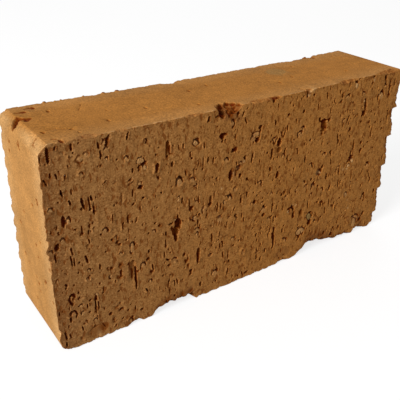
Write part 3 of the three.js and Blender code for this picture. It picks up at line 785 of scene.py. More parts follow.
# Each row gives one mark's fields in order, from x and z on.
FRONT_MARKS: list[Mark] = [
    # Crumbled patches, and spalls at the foot.
    *Crumbs.each(
        (37.7, 71.7, 2.6, 2.2, 1.1), (58.2, 85.4, 3.4, 3.6, 1.9, 0.8), (77.7, 24.3, 7, 2.6, 0.8),
        (102.5, 112, 5.5, 10, 1.5, 0.85, 0), (107.5, 107, 6, 7, 1, 0.6, 0.1), (18.3, 40.9, 3.4, 3.2, 1.4),
        (35, 13.1, 4.2, 3.6, 1.3), (11, 15.9, 3.4, 2.8, 0.9), (152.5, 16.5, 5.5, 4, 1), (43, 87, 6, 5, 0.7),
        (221.5, 10, 8, 9, 1.2, 0.9), (107, 75.5, 8, 5, 1.1, 0.8), (30.9, 42.4, 5, 4, 1.1),
        (35, 34.6, 5, 4, 0.9, 0.3), (25.6, 18.7, 4.4, 4, 0.9, 0.3), (33, 17.3, 5, 4.4, 1, 0.3),
        (54, 30.2, 4.6, 4, 1, 0.3), (75.9, 28.4, 6.4, 4.4, 1, 0.3), (14.7, 14, 4.6, 4, 0.9, 0.3),
        (31.2, 8, 5, 4, 0.9, 0.3), (6.4, 59.8, 3.4, 3, 1.2), (35.7, 41.5, 3.8, 3, 1.2),
        (35, 55.5, 4.6, 4.4, 1.1), (66.6, 98, 7, 3.2, 0.9, 0.2), (156, 19.5, 4, 4, 0.8),
        (131.9, 113.6, 3.6, 11, 0.8, 0.7), (171.8, 84.2, 3.2, 5.4, 0.7, 0.5),
    ),
    Scar(20.6, 5.4, 9, 13, 0.3, 0.1, 0.3), Scar(24.8, 6, 5.4, 6, 0.2, 0.3, 0.5),
    Slit(20.2, 8.7, 2.2, 2, 0.6, 3.3), Scar(151, 7, 9, 15, 0.3, 0.4),
    # Furrows, with the slits in them.
    Furrow(64.2, 99.2, 9.8, 2, 1.3), Slit(63.2, 99.6, 8.6, 0.8, 1), Slit(65.2, 98.6, 6, 0.8, 0.9),
    *Furrow.each(
        (38.2, 79.2, 8, 1.2, 0.5), (91.4, 63, 6.8, 1.8, 1.1), (42.4, 34.6, 15, 3.6, 1.2, 0.35),
    ),
    *Slit.each(
        (40.4, 41, 2.6, 0.8, 1, 0.6), (43.2, 41.4, 2, 0.8, 1, -0.7), (40.8, 38.6, 5.6, 0.7, 1),
        (42.4, 33.6, 7, 0.8, 1.1),
    ),
    *Furrow.each(
        (84.5, 31, 7.4, 2.5, 1.5), (162.8, 32.2, 7.4, 3.6, 1.6), (141, 23.5, 13.8, 1.8, 1.3),
        (11.8, 4.4, 3.6, 1.8, 0.9), (19.2, 58.7, 4, 2.4, 0.6),
    ),
    # Hooks, from the top left.
    *Hook.each(
        (10.5, 109.3, 1.7, 0.5, 60), (18.4, 104.7, 3.4, 0.6, 200, 320), (21.7, 106.2, 2.5, 0.5, 90),
        (18.6, 97.6, 1.8, 0.8, 70), (31.4, 107, 1.7, 1.5, 100), (31.4, 102, 1.3, 1.5, 80),
        (41.5, 99.8, 2, 1.4, 80), (3, 83.8, 2, 1.8, 90, 210, 1, 0.5), (10.6, 75.4, 1.9, 1.6, 90, 240, 2.2),
        (28.6, 64.6, 2.9, 1.9, 60), (51.6, 106.3, 1.8, 1.3, 0), (80.7, 99.3, 3.6, 2.1, 90, 150),
        (71.1, 79.4, 3.6, 2.8, 105, 240, 1.5), (70.6, 70.7, 1.5, 1.9, 90), (104.8, 60.4, 3, 1.8, 80, 240),
        (101.2, 58.9, 2, 1.2, 150), (55.7, 55, 2.2, 1.2, 45), (83.1, 46.8, 2.8, 2.1, 80, 170),
        (83.1, 44, 2.8, 1.8, 90, 170), (98.3, 48.6, 3.6, 1.5, 90, 130), (108.8, 32.3, 2.6, 1.7, 90),
        (43.1, 51.2, 2.4, 1.7, 90, 280, 1.4), (43, 47.6, 2.2, 1.2, 200, 160), (49, 36.8, 2.6, 2.2, 80, 280),
        (53.4, 24.6, 2.1, 1.2, 80, 280), (96.6, 12.2, 4.4, 2.7, 105, 180),
        (103.5, 104.5, 2.6, 1.5, 20, 260, 1.5), (100.9, 84.4, 2.8, 2.4, 85),
        (118.6, 92.8, 3.4, 2.3, 125, 150), (126.2, 64.2, 2.4, 2.2, 80, 280), (154.1, 88, 4, 2.3, 130, 230),
        (191, 103.8, 3.4, 2.3, 100, 200), (222.3, 100, 3.8, 2.6, 90, 210, 1.4, 0.6),
        (166.6, 65.4, 2.4, 1.2, 90), (174.7, 57.8, 4.2, 2.4, 110, 250, 1, 0.8),
        (222.5, 27.1, 3.2, 1.5, 120, 200, 1.7), (218.6, 11.6, 5.6, 2.2, 100, 200),
        (177.2, 22.4, 1.7, 1.5, 60), (130.9, 44.8, 3.8, 2, 105, 170), (135.9, 37, 2.8, 1.7, 70),
        (17.7, 40.2, 1.6, 1.4, 60), (30.2, 36.6, 2.2, 1.2, 190), (8.8, 31.2, 3.1, 1.9, 150, 335, 1.9, 0),
    ),
    Hollow(9.1, 30.8, 3.6, 1.7, 0.5, 0.9),
    *Hook.each(
        (13, 25.4, 2, 1.6, 100), (13.7, 20.7, 2, 1.6, 130), (8.8, 21.7, 3.1, 1.8, 60, 270, 1.4, 0.1),
        (20.3, 13.1, 1.9, 1.5, 90), (7.1, 66.2, 2.4, 1.7, 80), (0.9, 62, 1.8, 1.5, 60),
        (18.7, 45, 1.8, 1.7, 80), (36.2, 48.3, 1.8, 0.9, 80), (14.6, 107.6, 2, 0.4, 250),
        (79.5, 78.2, 2.4, 1.3, 60, 180), (81, 54.7, 3, 1.3, 180, 240), (81.1, 75.2, 2, 1.3, 300, 260),
        (92.6, 26.7, 1.9, 1.6, 90, 240), (98.1, 50, 2.8, 1.6, 95, 150), (109.2, 77.7, 3, 1.5, 90, 200),
        (109.6, 45.6, 1.7, 1.6, 0, 200), (110.9, 80.2, 2, 1.6, 90, 200), (112.8, 81.9, 2.6, 2, 20, 190),
        (129.3, 49.9, 1.8, 1.2, 90, 200), (136.2, 54.4, 1.8, 0.9, 90, 260),
        (151.6, 16.6, 2.4, 1.7, 70, 260), (155.8, 91, 3, 1.8, 75, 170), (162.2, 54.5, 2.2, 2, 60, 170),
        (166.1, 20.5, 3, 1.7, 90, 120), (170.1, 43.7, 2.2, 1.2, 90, 260), (171, 50, 2.6, 2, 90, 300),
        (203.8, 34.9, 2.6, 2.3, 90, 190, 1, 0.8), (205.2, 103.6, 2.2, 1.1, 90, 200),
        (206.7, 42.7, 1.8, 1.6, 70, 170), (225, 105.6, 2, 1.8, 90), (221.3, 51.6, 2.6, 2, 100, 210, 1.4),
    ),
    # Pits.
    *Hollow.each(
        (48.4, 82.6, 2.4, 3, 2.4), (50.8, 94.6, 3, 3.2, 2.6), (8.3, 76.3, 6.2, 2, 2.1, 1, 0.2),
        (70.6, 55, 7, 4.6, 2.6, 0.9), (69.2, 50.4, 8.6, 4.4, 2.2, 0.62), (65.9, 56.2, 1.7, 2.6, 2),
        (97.6, 99.2, 3.6, 4.8, 2.6), (104.3, 74.9, 7, 2.8, 2.4), (109.6, 77.8, 2.9, 2.9, 1.6),
        (121.4, 91.6, 2.9, 3.1, 2.8), (138.3, 86.6, 5.6, 3, 3.2, 1, 0.25),
        (138.4, 81.6, 4.4, 3.8, 1.1, 0.5), (139.1, 66.1, 3.8, 2.6, 1.8), (96.4, 110.6, 4.5, 3.8, 3.2),
        (101.4, 110.6, 2.7, 2.5, 1.7), (107, 109.4, 2.2, 1.8, 1.6), (93.4, 110.4, 1.4, 3.4, 1.8),
        (131.4, 112.6, 3.4, 2.3, 2), (172.9, 92.2, 2.8, 5.2, 3.2, 1, 0.7),
        (171.4, 89.6, 5.4, 2.4, 2.6, 1, 0.6), (173.2, 88.4, 7.2, 5, 1.9, 0.6), (169.2, 94, 2.7, 2, 2.1),
        (177.2, 92.2, 3.2, 2.5, 2.1), (154.2, 39.2, 2.2, 4.6, 2), (35.9, 36.5, 4.5, 1.8, 1, 1, 0.3),
        (4, 63.8, 3.6, 2.4, 2), (34.4, 56, 2.2, 2.4, 1.4), (52.6, 44, 2.9, 1.8, 2),
        (51.8, 39.2, 2.2, 2, 2.2), (156.3, 32.4, 3.2, 2.3, 1.6), (170.4, 50.7, 3.8, 3.2, 1.6),
        (78.6, 61.6, 2.8, 2.6, 1.8), (79.5, 20.8, 2.4, 2.1, 1.6), (91.1, 60.4, 2.8, 1.9, 2.1),
        (104.2, 62.1, 2, 2.7, 2.3), (110.9, 72.6, 2.3, 1.8, 1.8), (121, 3.4, 2.3, 3.2, 2),
        (151.4, 39.2, 2.4, 2.2, 2), (156, 37.4, 2.5, 1.8, 2.2), (171.9, 23, 4.2, 4.2, 2.6),
        (174.8, 58.3, 5, 3.6, 2.7), (176.7, 22.9, 2.3, 2.3, 1.7), (186.4, 44.2, 3.8, 2.5, 2.2),
        (188.1, 9.7, 2.5, 2.3, 1.8), (195, 6.2, 2.9, 3.8, 2.3), (202.8, 61.3, 3.4, 3.8, 2.7),
        (221.5, 102.1, 2.4, 2.8, 2.6), (212.4, 113, 1.8, 2.6, 2.4), (211.6, 109, 1.8, 2.2, 1.4),
        (223.7, 110.9, 3.2, 2, 2.2), (196.8, 112.1, 2.2, 2.6, 2.4), (216, 13.6, 2.7, 3.4, 2.4),
        (223.6, 9.5, 2.6, 2.8, 2),
    ),
    # Slits.
    *Slit.each(
        (0.7, 108.4, 5, 0.6, 0.5), (1.2, 98.6, 1.6, 1, 1.4, -1), (2, 97.2, 2.4, 0.9, 1.2, -0.3),
        (4.2, 109.6, 7.8, 1.3, 2.3), (4.3, 100.6, 2.8, 0.9, 1.2), (7.1, 99.4, 2.8, 0.9, 1.2, -0.2),
        (15, 111.4, 3.6, 0.9, 1.2), (27.8, 109.3, 3.8, 0.9, 1.3, -0.1), (32.2, 110.5, 6.2, 1.5, 2.3, 0.3),
        (28.6, 104.6, 4.7, 1, 2.2), (44.5, 92.8, 2.4, 1, 1.7), (48, 71.1, 2.8, 0.8, 0.8),
        (8.6, 90.6, 4.1, 1, 1.9, -0.2), (13.3, 90.1, 3.2, 0.8, 0.8), (12, 85, 3.5, 1, 1.8, -0.2),
        (18.2, 82.7, 6.5, 1.2, 2, -0.2), (21.4, 81.9, 7.5, 0.9, 1, -0.1), (22.6, 84.2, 3.1, 1, 1.7, -0.2),
        (23.4, 79.8, 4.3, 0.8, 1.1), (32.8, 70.4, 5.2, 0.8, 0.6), (38.4, 65.6, 1.8, 0.9, 1.2),
        (20, 66.8, 2.3, 1, 1.6), (42.4, 110.8, 4, 1, 1.8, 0.25), (66.7, 90.6, 3.3, 1.2, 1.8),
        (57.8, 90.7, 5.4, 2, 2.3, 0.1), (72.9, 68.2, 4, 0.9, 1.6), (80.3, 54.5, 2.8, 1, 1.2),
        (60.4, 76.6, 1.8, 1, 1.7), (63.1, 51.2, 2.8, 1.2, 1.2), (105.8, 22.6, 7.1, 1, 0.7),
        (44.5, 30.3, 15.4, 1.2, 2.1), (64.1, 34.2, 2.2, 1.2, 1.9, -1), (84.2, 25.7, 4, 1.1, 1.1),
        (69.4, 46.2, 4.3, 1.6, 2), (73.5, 16.8, 1.1, 1.3, 1.2, 1.2), (68.7, 16.6, 4.7, 1, 1.3),
        (51, 19.2, 3.1, 1.1, 1.8, -0.3), (88.2, 110, 3.4, 1.5, 2.2, 0.2), (110.4, 108.6, 3.4, 1, 0.9, 0.4),
        (112.4, 104.6, 4.6, 1, 0.9, -0.4), (106, 96.6, 3.8, 1, 0.9), (85.7, 86.3, 8.3, 0.9, 0.7),
        (113.6, 83, 2.3, 1.5, 1.8), (133.2, 80.8, 6.8, 1.5, 1.6), (141.4, 90.7, 4.9, 1, 0.9, 0.2),
        (118.7, 81.2, 6.6, 1.2, 1.5, 0.15), (133.9, 99.2, 3.1, 1.3, 1.5, -0.2),
        (143.4, 101.8, 1.9, 1.5, 1.3), (133, 71.3, 2.9, 1.6, 1.6, -0.3), (111.2, 72.7, 2.4, 1.5, 1.6, 0.3),
        (155.1, 101.7, 2.1, 1.5, 1.7), (156.3, 111.4, 4.6, 1.4, 2.3, -0.1),
        (185.3, 102.3, 2, 1.7, 2.2, 0.5), (208.4, 96.4, 9, 2, 2.5, -0.22), (219.3, 99, 5, 1.2, 1.4, -0.2),
        (194.2, 90.1, 4.3, 1.3, 1.6, 0.3), (203.6, 68.5, 3.2, 1.3, 1.2), (188.3, 75.6, 3.1, 1.5, 1.5, 0.2),
        (226.5, 39.8, 4, 1.6, 1.2), (112.8, 56.5, 3.9, 1.6, 1.8), (141.5, 15.9, 5.5, 1.3, 1.3, 0.2),
        (131.9, 9.8, 4, 1.2, 1.2), (12.2, 30.7, 2.4, 0.8, 1.3, 0.2), (16.5, 23.8, 3, 0.8, 1.1),
        (20.8, 22.5, 10.8, 1, 1.9), (22.4, 21.6, 5.8, 0.9, 1.1), (24.8, 7.2, 4, 0.8, 0.8, -0.5),
        (19.2, 9.4, 1, 0.8, 0.7, 4), (25.7, 30.7, 3.4, 0.8, 1), (6.9, 19.4, 3.7, 1.2, 1.8),
        (1.6, 25.3, 2.9, 0.8, 1), (43.7, 10.8, 3.6, 0.8, 1), (5.5, 15.5, 2.5, 0.8, 1),
        (12.8, 11, 3.1, 1, 1.1, -0.2), (3.6, 10.3, 6.4, 0.9, 1.6, -0.12), (5.9, 9.1, 4, 1, 1.1, -0.1),
        (3.5, 4.8, 3.1, 0.9, 1.6), (29.6, 90.5, 1.8, 0.9, 1.2, 1.2), (42.8, 88.5, 2.2, 0.8, 0.9, 1.1),
        (44.2, 86.6, 1.8, 0.8, 0.7, 1.1), (10.3, 53.8, 6.8, 0.9, 1.6, -0.08),
        (11.6, 52.5, 5.4, 0.8, 1, -0.05), (17.9, 52.1, 4.8, 1.2, 1.9, -0.25), (24.6, 45.1, 4.4, 0.9, 1.1),
        (2.6, 57.9, 5, 0.9, 1.3), (28.9, 41.9, 3.1, 0.8, 0.9), (1.8, 72.6, 2.4, 0.8, 0.9),
        (229.2, 103, 12.5, 1.5, 1.6, -0.05), (232.4, 84.4, 9.8, 1.2, 1), (235.6, 54, 5, 1.3, 1),
        (233.4, 29, 3.6, 1.7, 1.1), (84.2, 30.1, 9.9, 1.8, 1.8), (88.6, 87.8, 3.2, 1.2, 1.3),
        (92.1, 86.6, 3.9, 1, 0.9), (93.5, 37.8, 5.2, 1, 0.9), (96.2, 57.1, 7.4, 1, 1),
        (101.8, 35.8, 1.2, 1.3, 1.6, 5.92), (111.6, 61.6, 1.3, 1, 1, 0.58),
        (113.5, 22.5, 1.2, 1.2, 1.5, 1.61), (116.7, 68.7, 1.8, 1.2, 1.5, -1.39),
        (117.1, 59.1, 3.6, 1, 1, -0.09), (126.8, 29, 3, 1.2, 1.3), (128.3, 14.8, 9.8, 1.1, 1.1, -0.08),
        (130, 32.1, 1.7, 1, 1.1, 0.13), (134.9, 14.8, 3.3, 1.2, 1.5, -0.11), (137.5, 28.6, 4, 1.1, 1.1),
        (137.8, 44.5, 8.1, 1, 1), (141.5, 22.1, 14.6, 1.3, 2.2), (148.3, 24.8, 3.7, 1.5, 1.5, -0.08),
        (156.1, 33.6, 5.4, 1.6, 2), (160.7, 71.3, 4.9, 1.2, 1.5, -0.12), (160.9, 70.5, 5, 1.3, 1.7, -0.16),
        (164, 15.1, 3.1, 1.2, 1.3, 0.2), (167.6, 64.8, 3.8, 1.2, 1.3, -0.53),
        (168.6, 37.2, 6, 1.1, 1.2, -0.11), (172.9, 107.9, 4.6, 1, 1, -0.15),
        (176.7, 60.5, 2.8, 1.6, 2, 0.47), (179.6, 103.3, 2.7, 1.1, 1.1, -0.13),
        (182.1, 53.6, 4.8, 1.5, 1.8), (182.8, 69.5, 4.7, 1.2, 1.6, -0.15),
        (183.5, 108.4, 2.6, 1, 1.1, -0.14), (184.2, 63.3, 4.4, 1.1, 1.2, -0.22), (185.4, 28, 5.1, 1.2, 1.5),
        (185.7, 105.5, 3.2, 1.3, 1.6, -0.32), (187.5, 77.8, 7.8, 1.2, 1.6, -0.18),
        (188.2, 32.8, 6.7, 1.1, 1.3, -0.13), (193.1, 29.8, 5.7, 1.2, 1.5, 0.21),
        (193.2, 54.1, 5.5, 1.3, 1.3, -0.17), (194.4, 45.2, 6.1, 1, 1.1, -0.17), (202, 64, 5, 1.6, 2.2),
        (200.6, 59.8, 3.6, 1.8, 2.3, 0.5), (205, 60.9, 1.6, 1.4, 1.6, 1.2), (203, 71.5, 6, 1.1, 1.3, -0.1),
        (221.7, 27.4, 4.5, 1.1, 1.5, -0.13), (223.4, 26.9, 7.5, 1.5, 1.8, -0.13),
        (224.6, 43.5, 8.5, 1, 1.1, -0.52), (225.3, 12.6, 3.8, 2, 2.2, 0.6),
        (224.6, 108, 2.4, 1.6, 1.7, -0.3),
    ),
    # Stones.
    *Stone.each(
        (48.8, 96.8, 3, 3.6, 1.3, 0.55), (51.1, 92.8, 1.8, 2, 0.8, 0.7), (48, 84.7, 1.6, 1.8, 0.5),
        (80.7, 98.8, 3, 3.5, 1.7, 0.55), (120.6, 94.9, 3.8, 4.6, 0.9, 0.35),
        (171.2, 27.4, 5.4, 4.2, 1.8, 0.8, True), (164.7, 18.6, 5.2, 8.4, 1.5, 0.6),
        (21.8, 29.1, 1.8, 1.9, 0.6, 0.6), (113.3, 80.9, 1.7, 1.8, 0.6, 0.7),
        (123, 50.6, 1.3, 1.5, 0.3, 0.35), (70.6, 69, 1.6, 1.8, 0.4, 0.7), (197.2, 110, 3, 2.2, 0.6, 1),
        (105, 56, 1.2, 1.4, 0.3, 0.35), (154.9, 41, 1.3, 1.5, 0.3, 0.35),
        (206.5, 29.5, 2.4, 1.5, 0.4, 0.35), (218, 8, 6.5, 4.4, 0.9), (98.4, 67.9, 1.3, 1.4, 0.3, 0.9),
        (68.6, 57.9, 1.2, 1.3, 0.3, 1), (151.6, 36.8, 2.2, 2, 0.5, 0.9), (157.5, 40.1, 1.4, 1.6, 0.3, 0.8),
        (204.4, 58.9, 2.6, 2.6, 0.6, 1), (201.4, 56.4, 2.8, 3, 0.6, 1), (200.4, 54.4, 1.8, 2.2, 0.4, 0.9),
        (197.2, 54.8, 1.6, 1.8, 0.4, 0.6), (206.7, 98.8, 1.8, 1.4, 0.3, 0.9),
        (212.9, 110.8, 2.8, 1.4, 0.4, 1), (208.7, 22.8, 1.3, 1.2, 0.3, 0.9),
    ),
    *pinholes(
        (15.5, 108.6, 1, 1.2), (36.5, 100.3, 1.2, 1.4), (47.8, 93.8, 1.5, 1.3), (33.9, 77, 1.3, 1.7),
        (49.9, 76.4, 1.5, 1.6), (17.3, 80, 1.3, 1.4), (23.6, 76.6, 1.4, 1.7), (21.5, 78.4, 1.4, 1.7),
        (6.8, 86.6, 1, 0.9), (13.5, 70.3, 1.4, 1.4), (22.7, 68.3, 1.2, 1.4), (63.8, 95.2, 1.3, 1.8),
        (57.3, 98, 1.1, 1.4), (59.1, 101.2, 1, 1.1), (56.4, 59.7, 1.6, 1.3), (59, 57.8, 1.7, 1.3),
        (52.5, 55.2, 1.3, 1.7), (51.5, 39.1, 1.8, 1.9), (64.9, 30.2, 2.1, 1.6), (74.6, 33.6, 2.5, 1.2),
        (92.9, 26.9, 1.8, 1.2), (79.3, 18.7, 1.8, 1.2), (61.4, 25.1, 1.3, 1.7), (68.7, 8.2, 1.8, 1.2),
        (97.3, 96, 1.6, 1.6), (105.2, 89.2, 2.7, 2.4), (85.4, 82.9, 1.5, 1.3), (116.1, 69.2, 2.3, 1.5),
        (122.9, 98.5, 2.4, 2.4), (161.8, 110.2, 1.8, 1.7), (207.9, 90.7, 4, 2.8), (197.6, 82.3, 2.4, 1.8),
        (214.8, 83.5, 2.2, 1.5), (210.5, 70.7, 2.6, 1.3), (210.9, 64.9, 2.8, 1.2), (182.5, 70.4, 2.2, 1.3),
        (176.9, 61.8, 2.7, 1.6), (163.1, 54.5, 2, 1.3), (130.8, 41.5, 2.2, 1.6), (123.1, 52.6, 2.9, 2.8),
        (13.2, 45.7, 1.2, 1.6), (6.5, 40.6, 1.3, 1.6), (12.3, 34.2, 1.5, 1.9), (18.1, 27, 1.4, 1.4),
        (25.3, 28.4, 1.3, 1.5), (34, 25.8, 1.4, 1.5), (35.4, 29.6, 1.3, 1), (17.2, 19.8, 1.4, 1.6),
        (28.8, 13.2, 2, 1.6), (39.3, 11.1, 1.7, 1.4), (40.7, 14.3, 1.2, 1.1), (47.6, 7.8, 2.2, 1.7),
        (35.7, 7.1, 1.4, 1.1), (164.1, 14.5, 2.6, 1.7), (226, 13.4, 2.9, 2.1), (13.9, 51.4, 1.4, 1.6),
        (26.1, 63.4, 1.3, 1.2), (31.8, 58.3, 1.5, 1.3), (36.1, 53.9, 1.6, 1.4), (39.6, 55.5, 1.4, 1.2),
        (28, 52.6, 1.2, 1.1), (51.6, 39, 1.6, 1.6), (41.1, 5.2, 2, 1.2), (81.4, 84.2, 1.1, 1),
        (82.2, 56.7, 1.3, 1.2), (86.9, 76.5, 1.1, 1), (92, 76.5, 1.2, 1.1), (95, 75.3, 1.6, 1.6),
        (106.7, 17.2, 1.8, 1.7), (109.4, 47.7, 2, 2.2), (113.3, 29.6, 1.7, 1.6), (113.5, 83.3, 1.8, 2),
        (124.8, 56.4, 1.3, 1.2), (129.8, 81.9, 1.5, 1.2), (130.2, 32.3, 1.6, 1.5), (130.7, 47.5, 1.8, 1.8),
        (131.6, 9.4, 1.7, 1.6), (144.5, 51, 1.7, 1.7), (148.8, 73.3, 1.6, 1.5), (155.1, 101.7, 1.7, 1.7),
        (163.1, 82.2, 1.7, 1.8), (168.6, 54.7, 2.2, 2.1), (176.7, 36.7, 1.7, 1.3), (181.6, 35.2, 1.7, 1.5),
        (182.2, 24, 1.6, 1.5), (196.6, 99.8, 1.6, 1.5), (196.7, 11.2, 2, 1.7), (198.6, 91.3, 1.3, 1.2),
        (199.1, 113.9, 1.5, 1.7), (201.9, 10, 1.7, 1.6), (202.2, 90.9, 1.3, 1.2), (204.4, 114.4, 1.1, 1),
        (207.2, 85.3, 1.6, 1.5), (210.9, 63.4, 1.6, 1.6), (212.4, 113.1, 1.7, 2.1), (213.9, 66.8, 1.5, 1.5),
        (215.2, 90.6, 1.6, 1.5), (217.1, 69.6, 1.7, 1.6), (221.2, 82.2, 1.5, 1.5), (223.3, 64.1, 1.8, 1.7),
        (224.3, 8.6, 2, 1.6), (224.4, 110.4, 2, 2), (226.9, 81.2, 1.6, 1.3), (228.9, 76.2, 1.7, 1.6),
    ),
]
BACK_MARKS: list[Mark] = [
    *Crumbs.each(
        (38, 62, 6, 5, 1), (118, 45, 5, 5, 1.1), (170, 50, 7, 5, 1), (209, 26, 6, 5, 1),
    ),
    *Stone.each(
        (55, 88, 4.2, 3.6, 1.4), (96, 31, 3, 2.6, 1.2, 0.35), (152, 99, 3.4, 4.2, 1.3, 0.35),
        (218, 42, 3.4, 3, 1.3, 0.35),
    ),
    *Hollow.each(
        (22, 88, 5.2, 3.4, 1.9), (47, 31, 7.5, 3, 2.1), (66, 74, 4, 4.6, 1.8), (84, 18, 6, 3.2, 1.7),
        (101, 52, 9, 4.2, 2.4), (128, 94, 4.4, 3.6, 1.8), (139, 38, 6.6, 2.8, 2), (163, 70, 8.2, 3.8, 2.2),
        (181, 24, 4.8, 5.2, 1.9), (197, 98, 5.6, 2.6, 1.7), (214, 57, 7, 4.4, 2.2),
        (229, 33, 4.2, 2.8, 1.6),
    ),
    *Slit.each(
        (14, 61, 6.2, 1.3, 1.8), (35, 103, 4.8, 1.4, 1.7), (58, 50, 9.5, 1.2, 1.9),
        (77, 101, 5.4, 1.5, 1.8), (92, 83, 7.2, 1.1, 1.6), (115, 23, 6.6, 1.4, 1.9),
        (122, 66, 4.6, 1.6, 1.7), (149, 15, 5.2, 1.2, 1.6), (176, 89, 8.4, 1.3, 1.9),
        (191, 46, 6, 1.2, 1.7), (206, 80, 4.4, 1.6, 1.8), (233, 76, 5.8, 1.2, 1.7),
    ),
    *Hook.each(
        (29, 19, 3.6, 1.9, 95), (72, 37, 3, 1.8, 80, 240), (108, 104, 4, 2, 110, 200),
        (146, 56, 3.4, 1.9, 90), (187, 68, 3, 1.7, 120), (203, 15, 4.2, 2, 85, 240),
        (221, 104, 3.2, 1.8, 70),
    ),
]


@dataclass(frozen=True)
class ChanceMarks:
    """How many marks of each kind chance spreads over a bed face."""

    slits: int
    pinholes: int
    hooks: int
    hollows: int
    crumbs: int
    thinned: float = 0.0
    margin: float = 2.0

    def marks(self, relief: Relief) -> list[Mark]:
        """Draws places and sizes, thicker where a coarse noise over the face is high.

        Every second large mark and every fourth small one is left out of the first `thinned` mm, where
        the named marks lie close.

        Args:
            relief: the face, which gives the seeded chances.

        Returns:
            The marks, coarsest kinds first.
        """
        chance = relief.chance
        wide, high = relief.x.max(), relief.z.max()

        def drawn(count: int, small: float, large: float) -> list[Point]:
            """Places and sizes of marks. The thickest half of twice as many places is kept, so that
            marks gather in patches, and small sizes are the most common.

            Args:
                count: how many marks are wanted.
                small, large: the range of sizes.

            Returns:
                Each mark's x, z and size.
            """
            low = (self.margin, self.margin)
            places = chance.uniform(low, (wide - self.margin, high - self.margin), (2 * count, 2))
            thick = relief.noise.layered(places[:, 0] / 16, Plane.GATHERING, places[:, 1] / 24)
            order = np.argsort(thick + chance.normal(0.0, 0.5, 2 * count))[count:]
            sizes = small + (large - small) * chance.uniform(0.0, 1.0, count) ** 2.2
            return [(*place, size) for place, size in zip(places[order].tolist(), sizes.tolist())]

        made: list[Mark] = []
        for x, z, size in drawn(self.crumbs, small=3.0, large=7.0):
            made.append(Crumbs(x, z, size, size * 0.9, 0.6, red=0.25))
        for x, z, size in drawn(self.hollows, small=1.6, large=3.6):
            made.append(Hollow(x, z, size * 1.3, size * 0.8, 0.3 * size + 0.4))
        for x, z, size in drawn(self.hooks, small=1.4, large=3.4):
            turn, span = chance.normal(95.0, 30.0), chance.uniform(120.0, 250.0)
            made.append(Hook(x, z, size, 0.3 * size + 0.2, turn, span, chance.uniform(0.7, 1.5), pale=0.15))
        large = len(made)
        for x, z, size in drawn(self.slits, small=1.2, large=5.5):
            made.append(Slit(x, z, size, 0.75 + 0.06 * size, 0.35 + 0.13 * size, chance.normal(0.0, 0.12)))
        for x, z, size in drawn(self.pinholes, small=0.8, large=1.6):
            made += pinholes((x, z, size, 0.7 * size))
        return [
            mark
            for number, mark in enumerate(made)
            if mark.x > self.thinned or number % (2 if number < large else 4)
        ]


@dataclass(frozen=True)
class WireCutFace:
    """One bed face as the wire left it. Sizes in mm."""

    named: list[Mark]
    chance: ChanceMarks
    seed: int
    wave: float = 0.25
    streak: float = 0.04
    lump: float = 0.07

    def relief(self, x: Array, z: Array) -> Relief:
        """Works out the face's maps.

        Every mark is pressed in. Low waves, upright drag streaks (noise stretched along z) and small
        lumps are added.

        Args:
            x, z: where each point of the face's grid lies, from the left end and the floor.

        Returns:
            The finished maps.
        """
        relief = Relief(x, z, self.seed)
        for mark in [*self.named, *self.chance.marks(relief)]:
            mark.press(relief)
        waves = relief.pattern(Plane.WAVES, wide=34, high=26, octaves=3)
        streaks = relief.pattern(Plane.STREAKS, wide=1.4, high=12)
        lumps = relief.pattern(Plane.LUMPS, wide=2.6, high=3.4)
        relief.depth += self.wave * (0.5 + 0.5 * waves) + self.streak * streaks + self.lump * lumps
        return relief


FRONT_FACE = WireCutFace(
    FRONT_MARKS,
    ChanceMarks(slits=330, pinholes=360, hooks=55, hollows=10, crumbs=14, thinned=64.0),
    Seed.FRONT_FACE,
)
BACK_FACE = WireCutFace(
    BACK_MARKS, ChanceMarks(slits=360, pinholes=380, hooks=120, hollows=30, crumbs=30), Seed.BACK_FACE
)


# ---- Relief of the die skins ----------------------------------------------------------------------------


@dataclass
class Skins:
    """The brick's points while marks are made on its die skins. All maps have one value for each point.

    Marks are placed in mm from the left end, the front and the floor.
    """

    block: Block
    points: Array
    height: Array
    maps: dict[str, Array]

    def near(self, place: Point, reach: float) -> tuple[Array, Array]:
        """The points within a cube round a place.

        Args:
            place: the mark's middle.
            reach: half the cube's side.

        Returns:
            Numbers of the points, and their offsets from the place.
        """
        centre = np.array(place) + (self.block.left, -self.block.thickness / 2, 0.0)
        offset = self.points - centre
        numbers = np.nonzero(np.abs(offset).max(axis=1) < reach)[0]
        return numbers, offset[numbers]

    def wobble(self, numbers: Array, size: float) -> Array:
        """Noise from -1 to 1 at some of the points, of a given size in mm."""
        return ClayNoise(Seed.SKIN_MARKS).layered(*(self.points[numbers] / size).T, 2)

    def tint(self, name: str, numbers: Array, share: Array) -> None:
        """Raises one of the maps at some of the points."""
        raise_map(self.maps[name], numbers, share)


class SkinMark(Rows):
    """Anything that marks a die skin."""

    def press(self, skins: Skins) -> None:
        """Changes the skins' heights and maps. Each kind of mark says how."""


@dataclass(frozen=True)
class Chip(SkinMark):
    """A chip knocked out of a skin or a corner."""

    place: Point
    size: Point
    depth: float
    dark: float = 1.0
    red: float = 1.0

    def press(self, skins: Skins) -> None:
        """Depth is flat inside an uneven ball round the chip's middle."""
        numbers, offset = skins.near(self.place, 1.5 * max(self.size))
        uneven = 1.0 + 0.35 * skins.wobble(numbers, 1.8)
        inside = ease((1.0 - np.linalg.norm(offset / np.array(self.size), axis=1) * uneven) / 0.45)
        skins.height[numbers] -= self.depth * inside * (1.0 + 0.35 * skins.wobble(numbers, 0.9))
        skins.tint("torn", numbers, self.red * inside)
        patchy = np.clip(0.8 + 0.7 * skins.wobble(numbers, 1.3), 0.0, 1.0)
        # Painted shade in the chip, darker the deeper it is, in patches.
        skins.tint("hollow", numbers, min(self.dark * self.depth, 1.0) * inside * patchy)


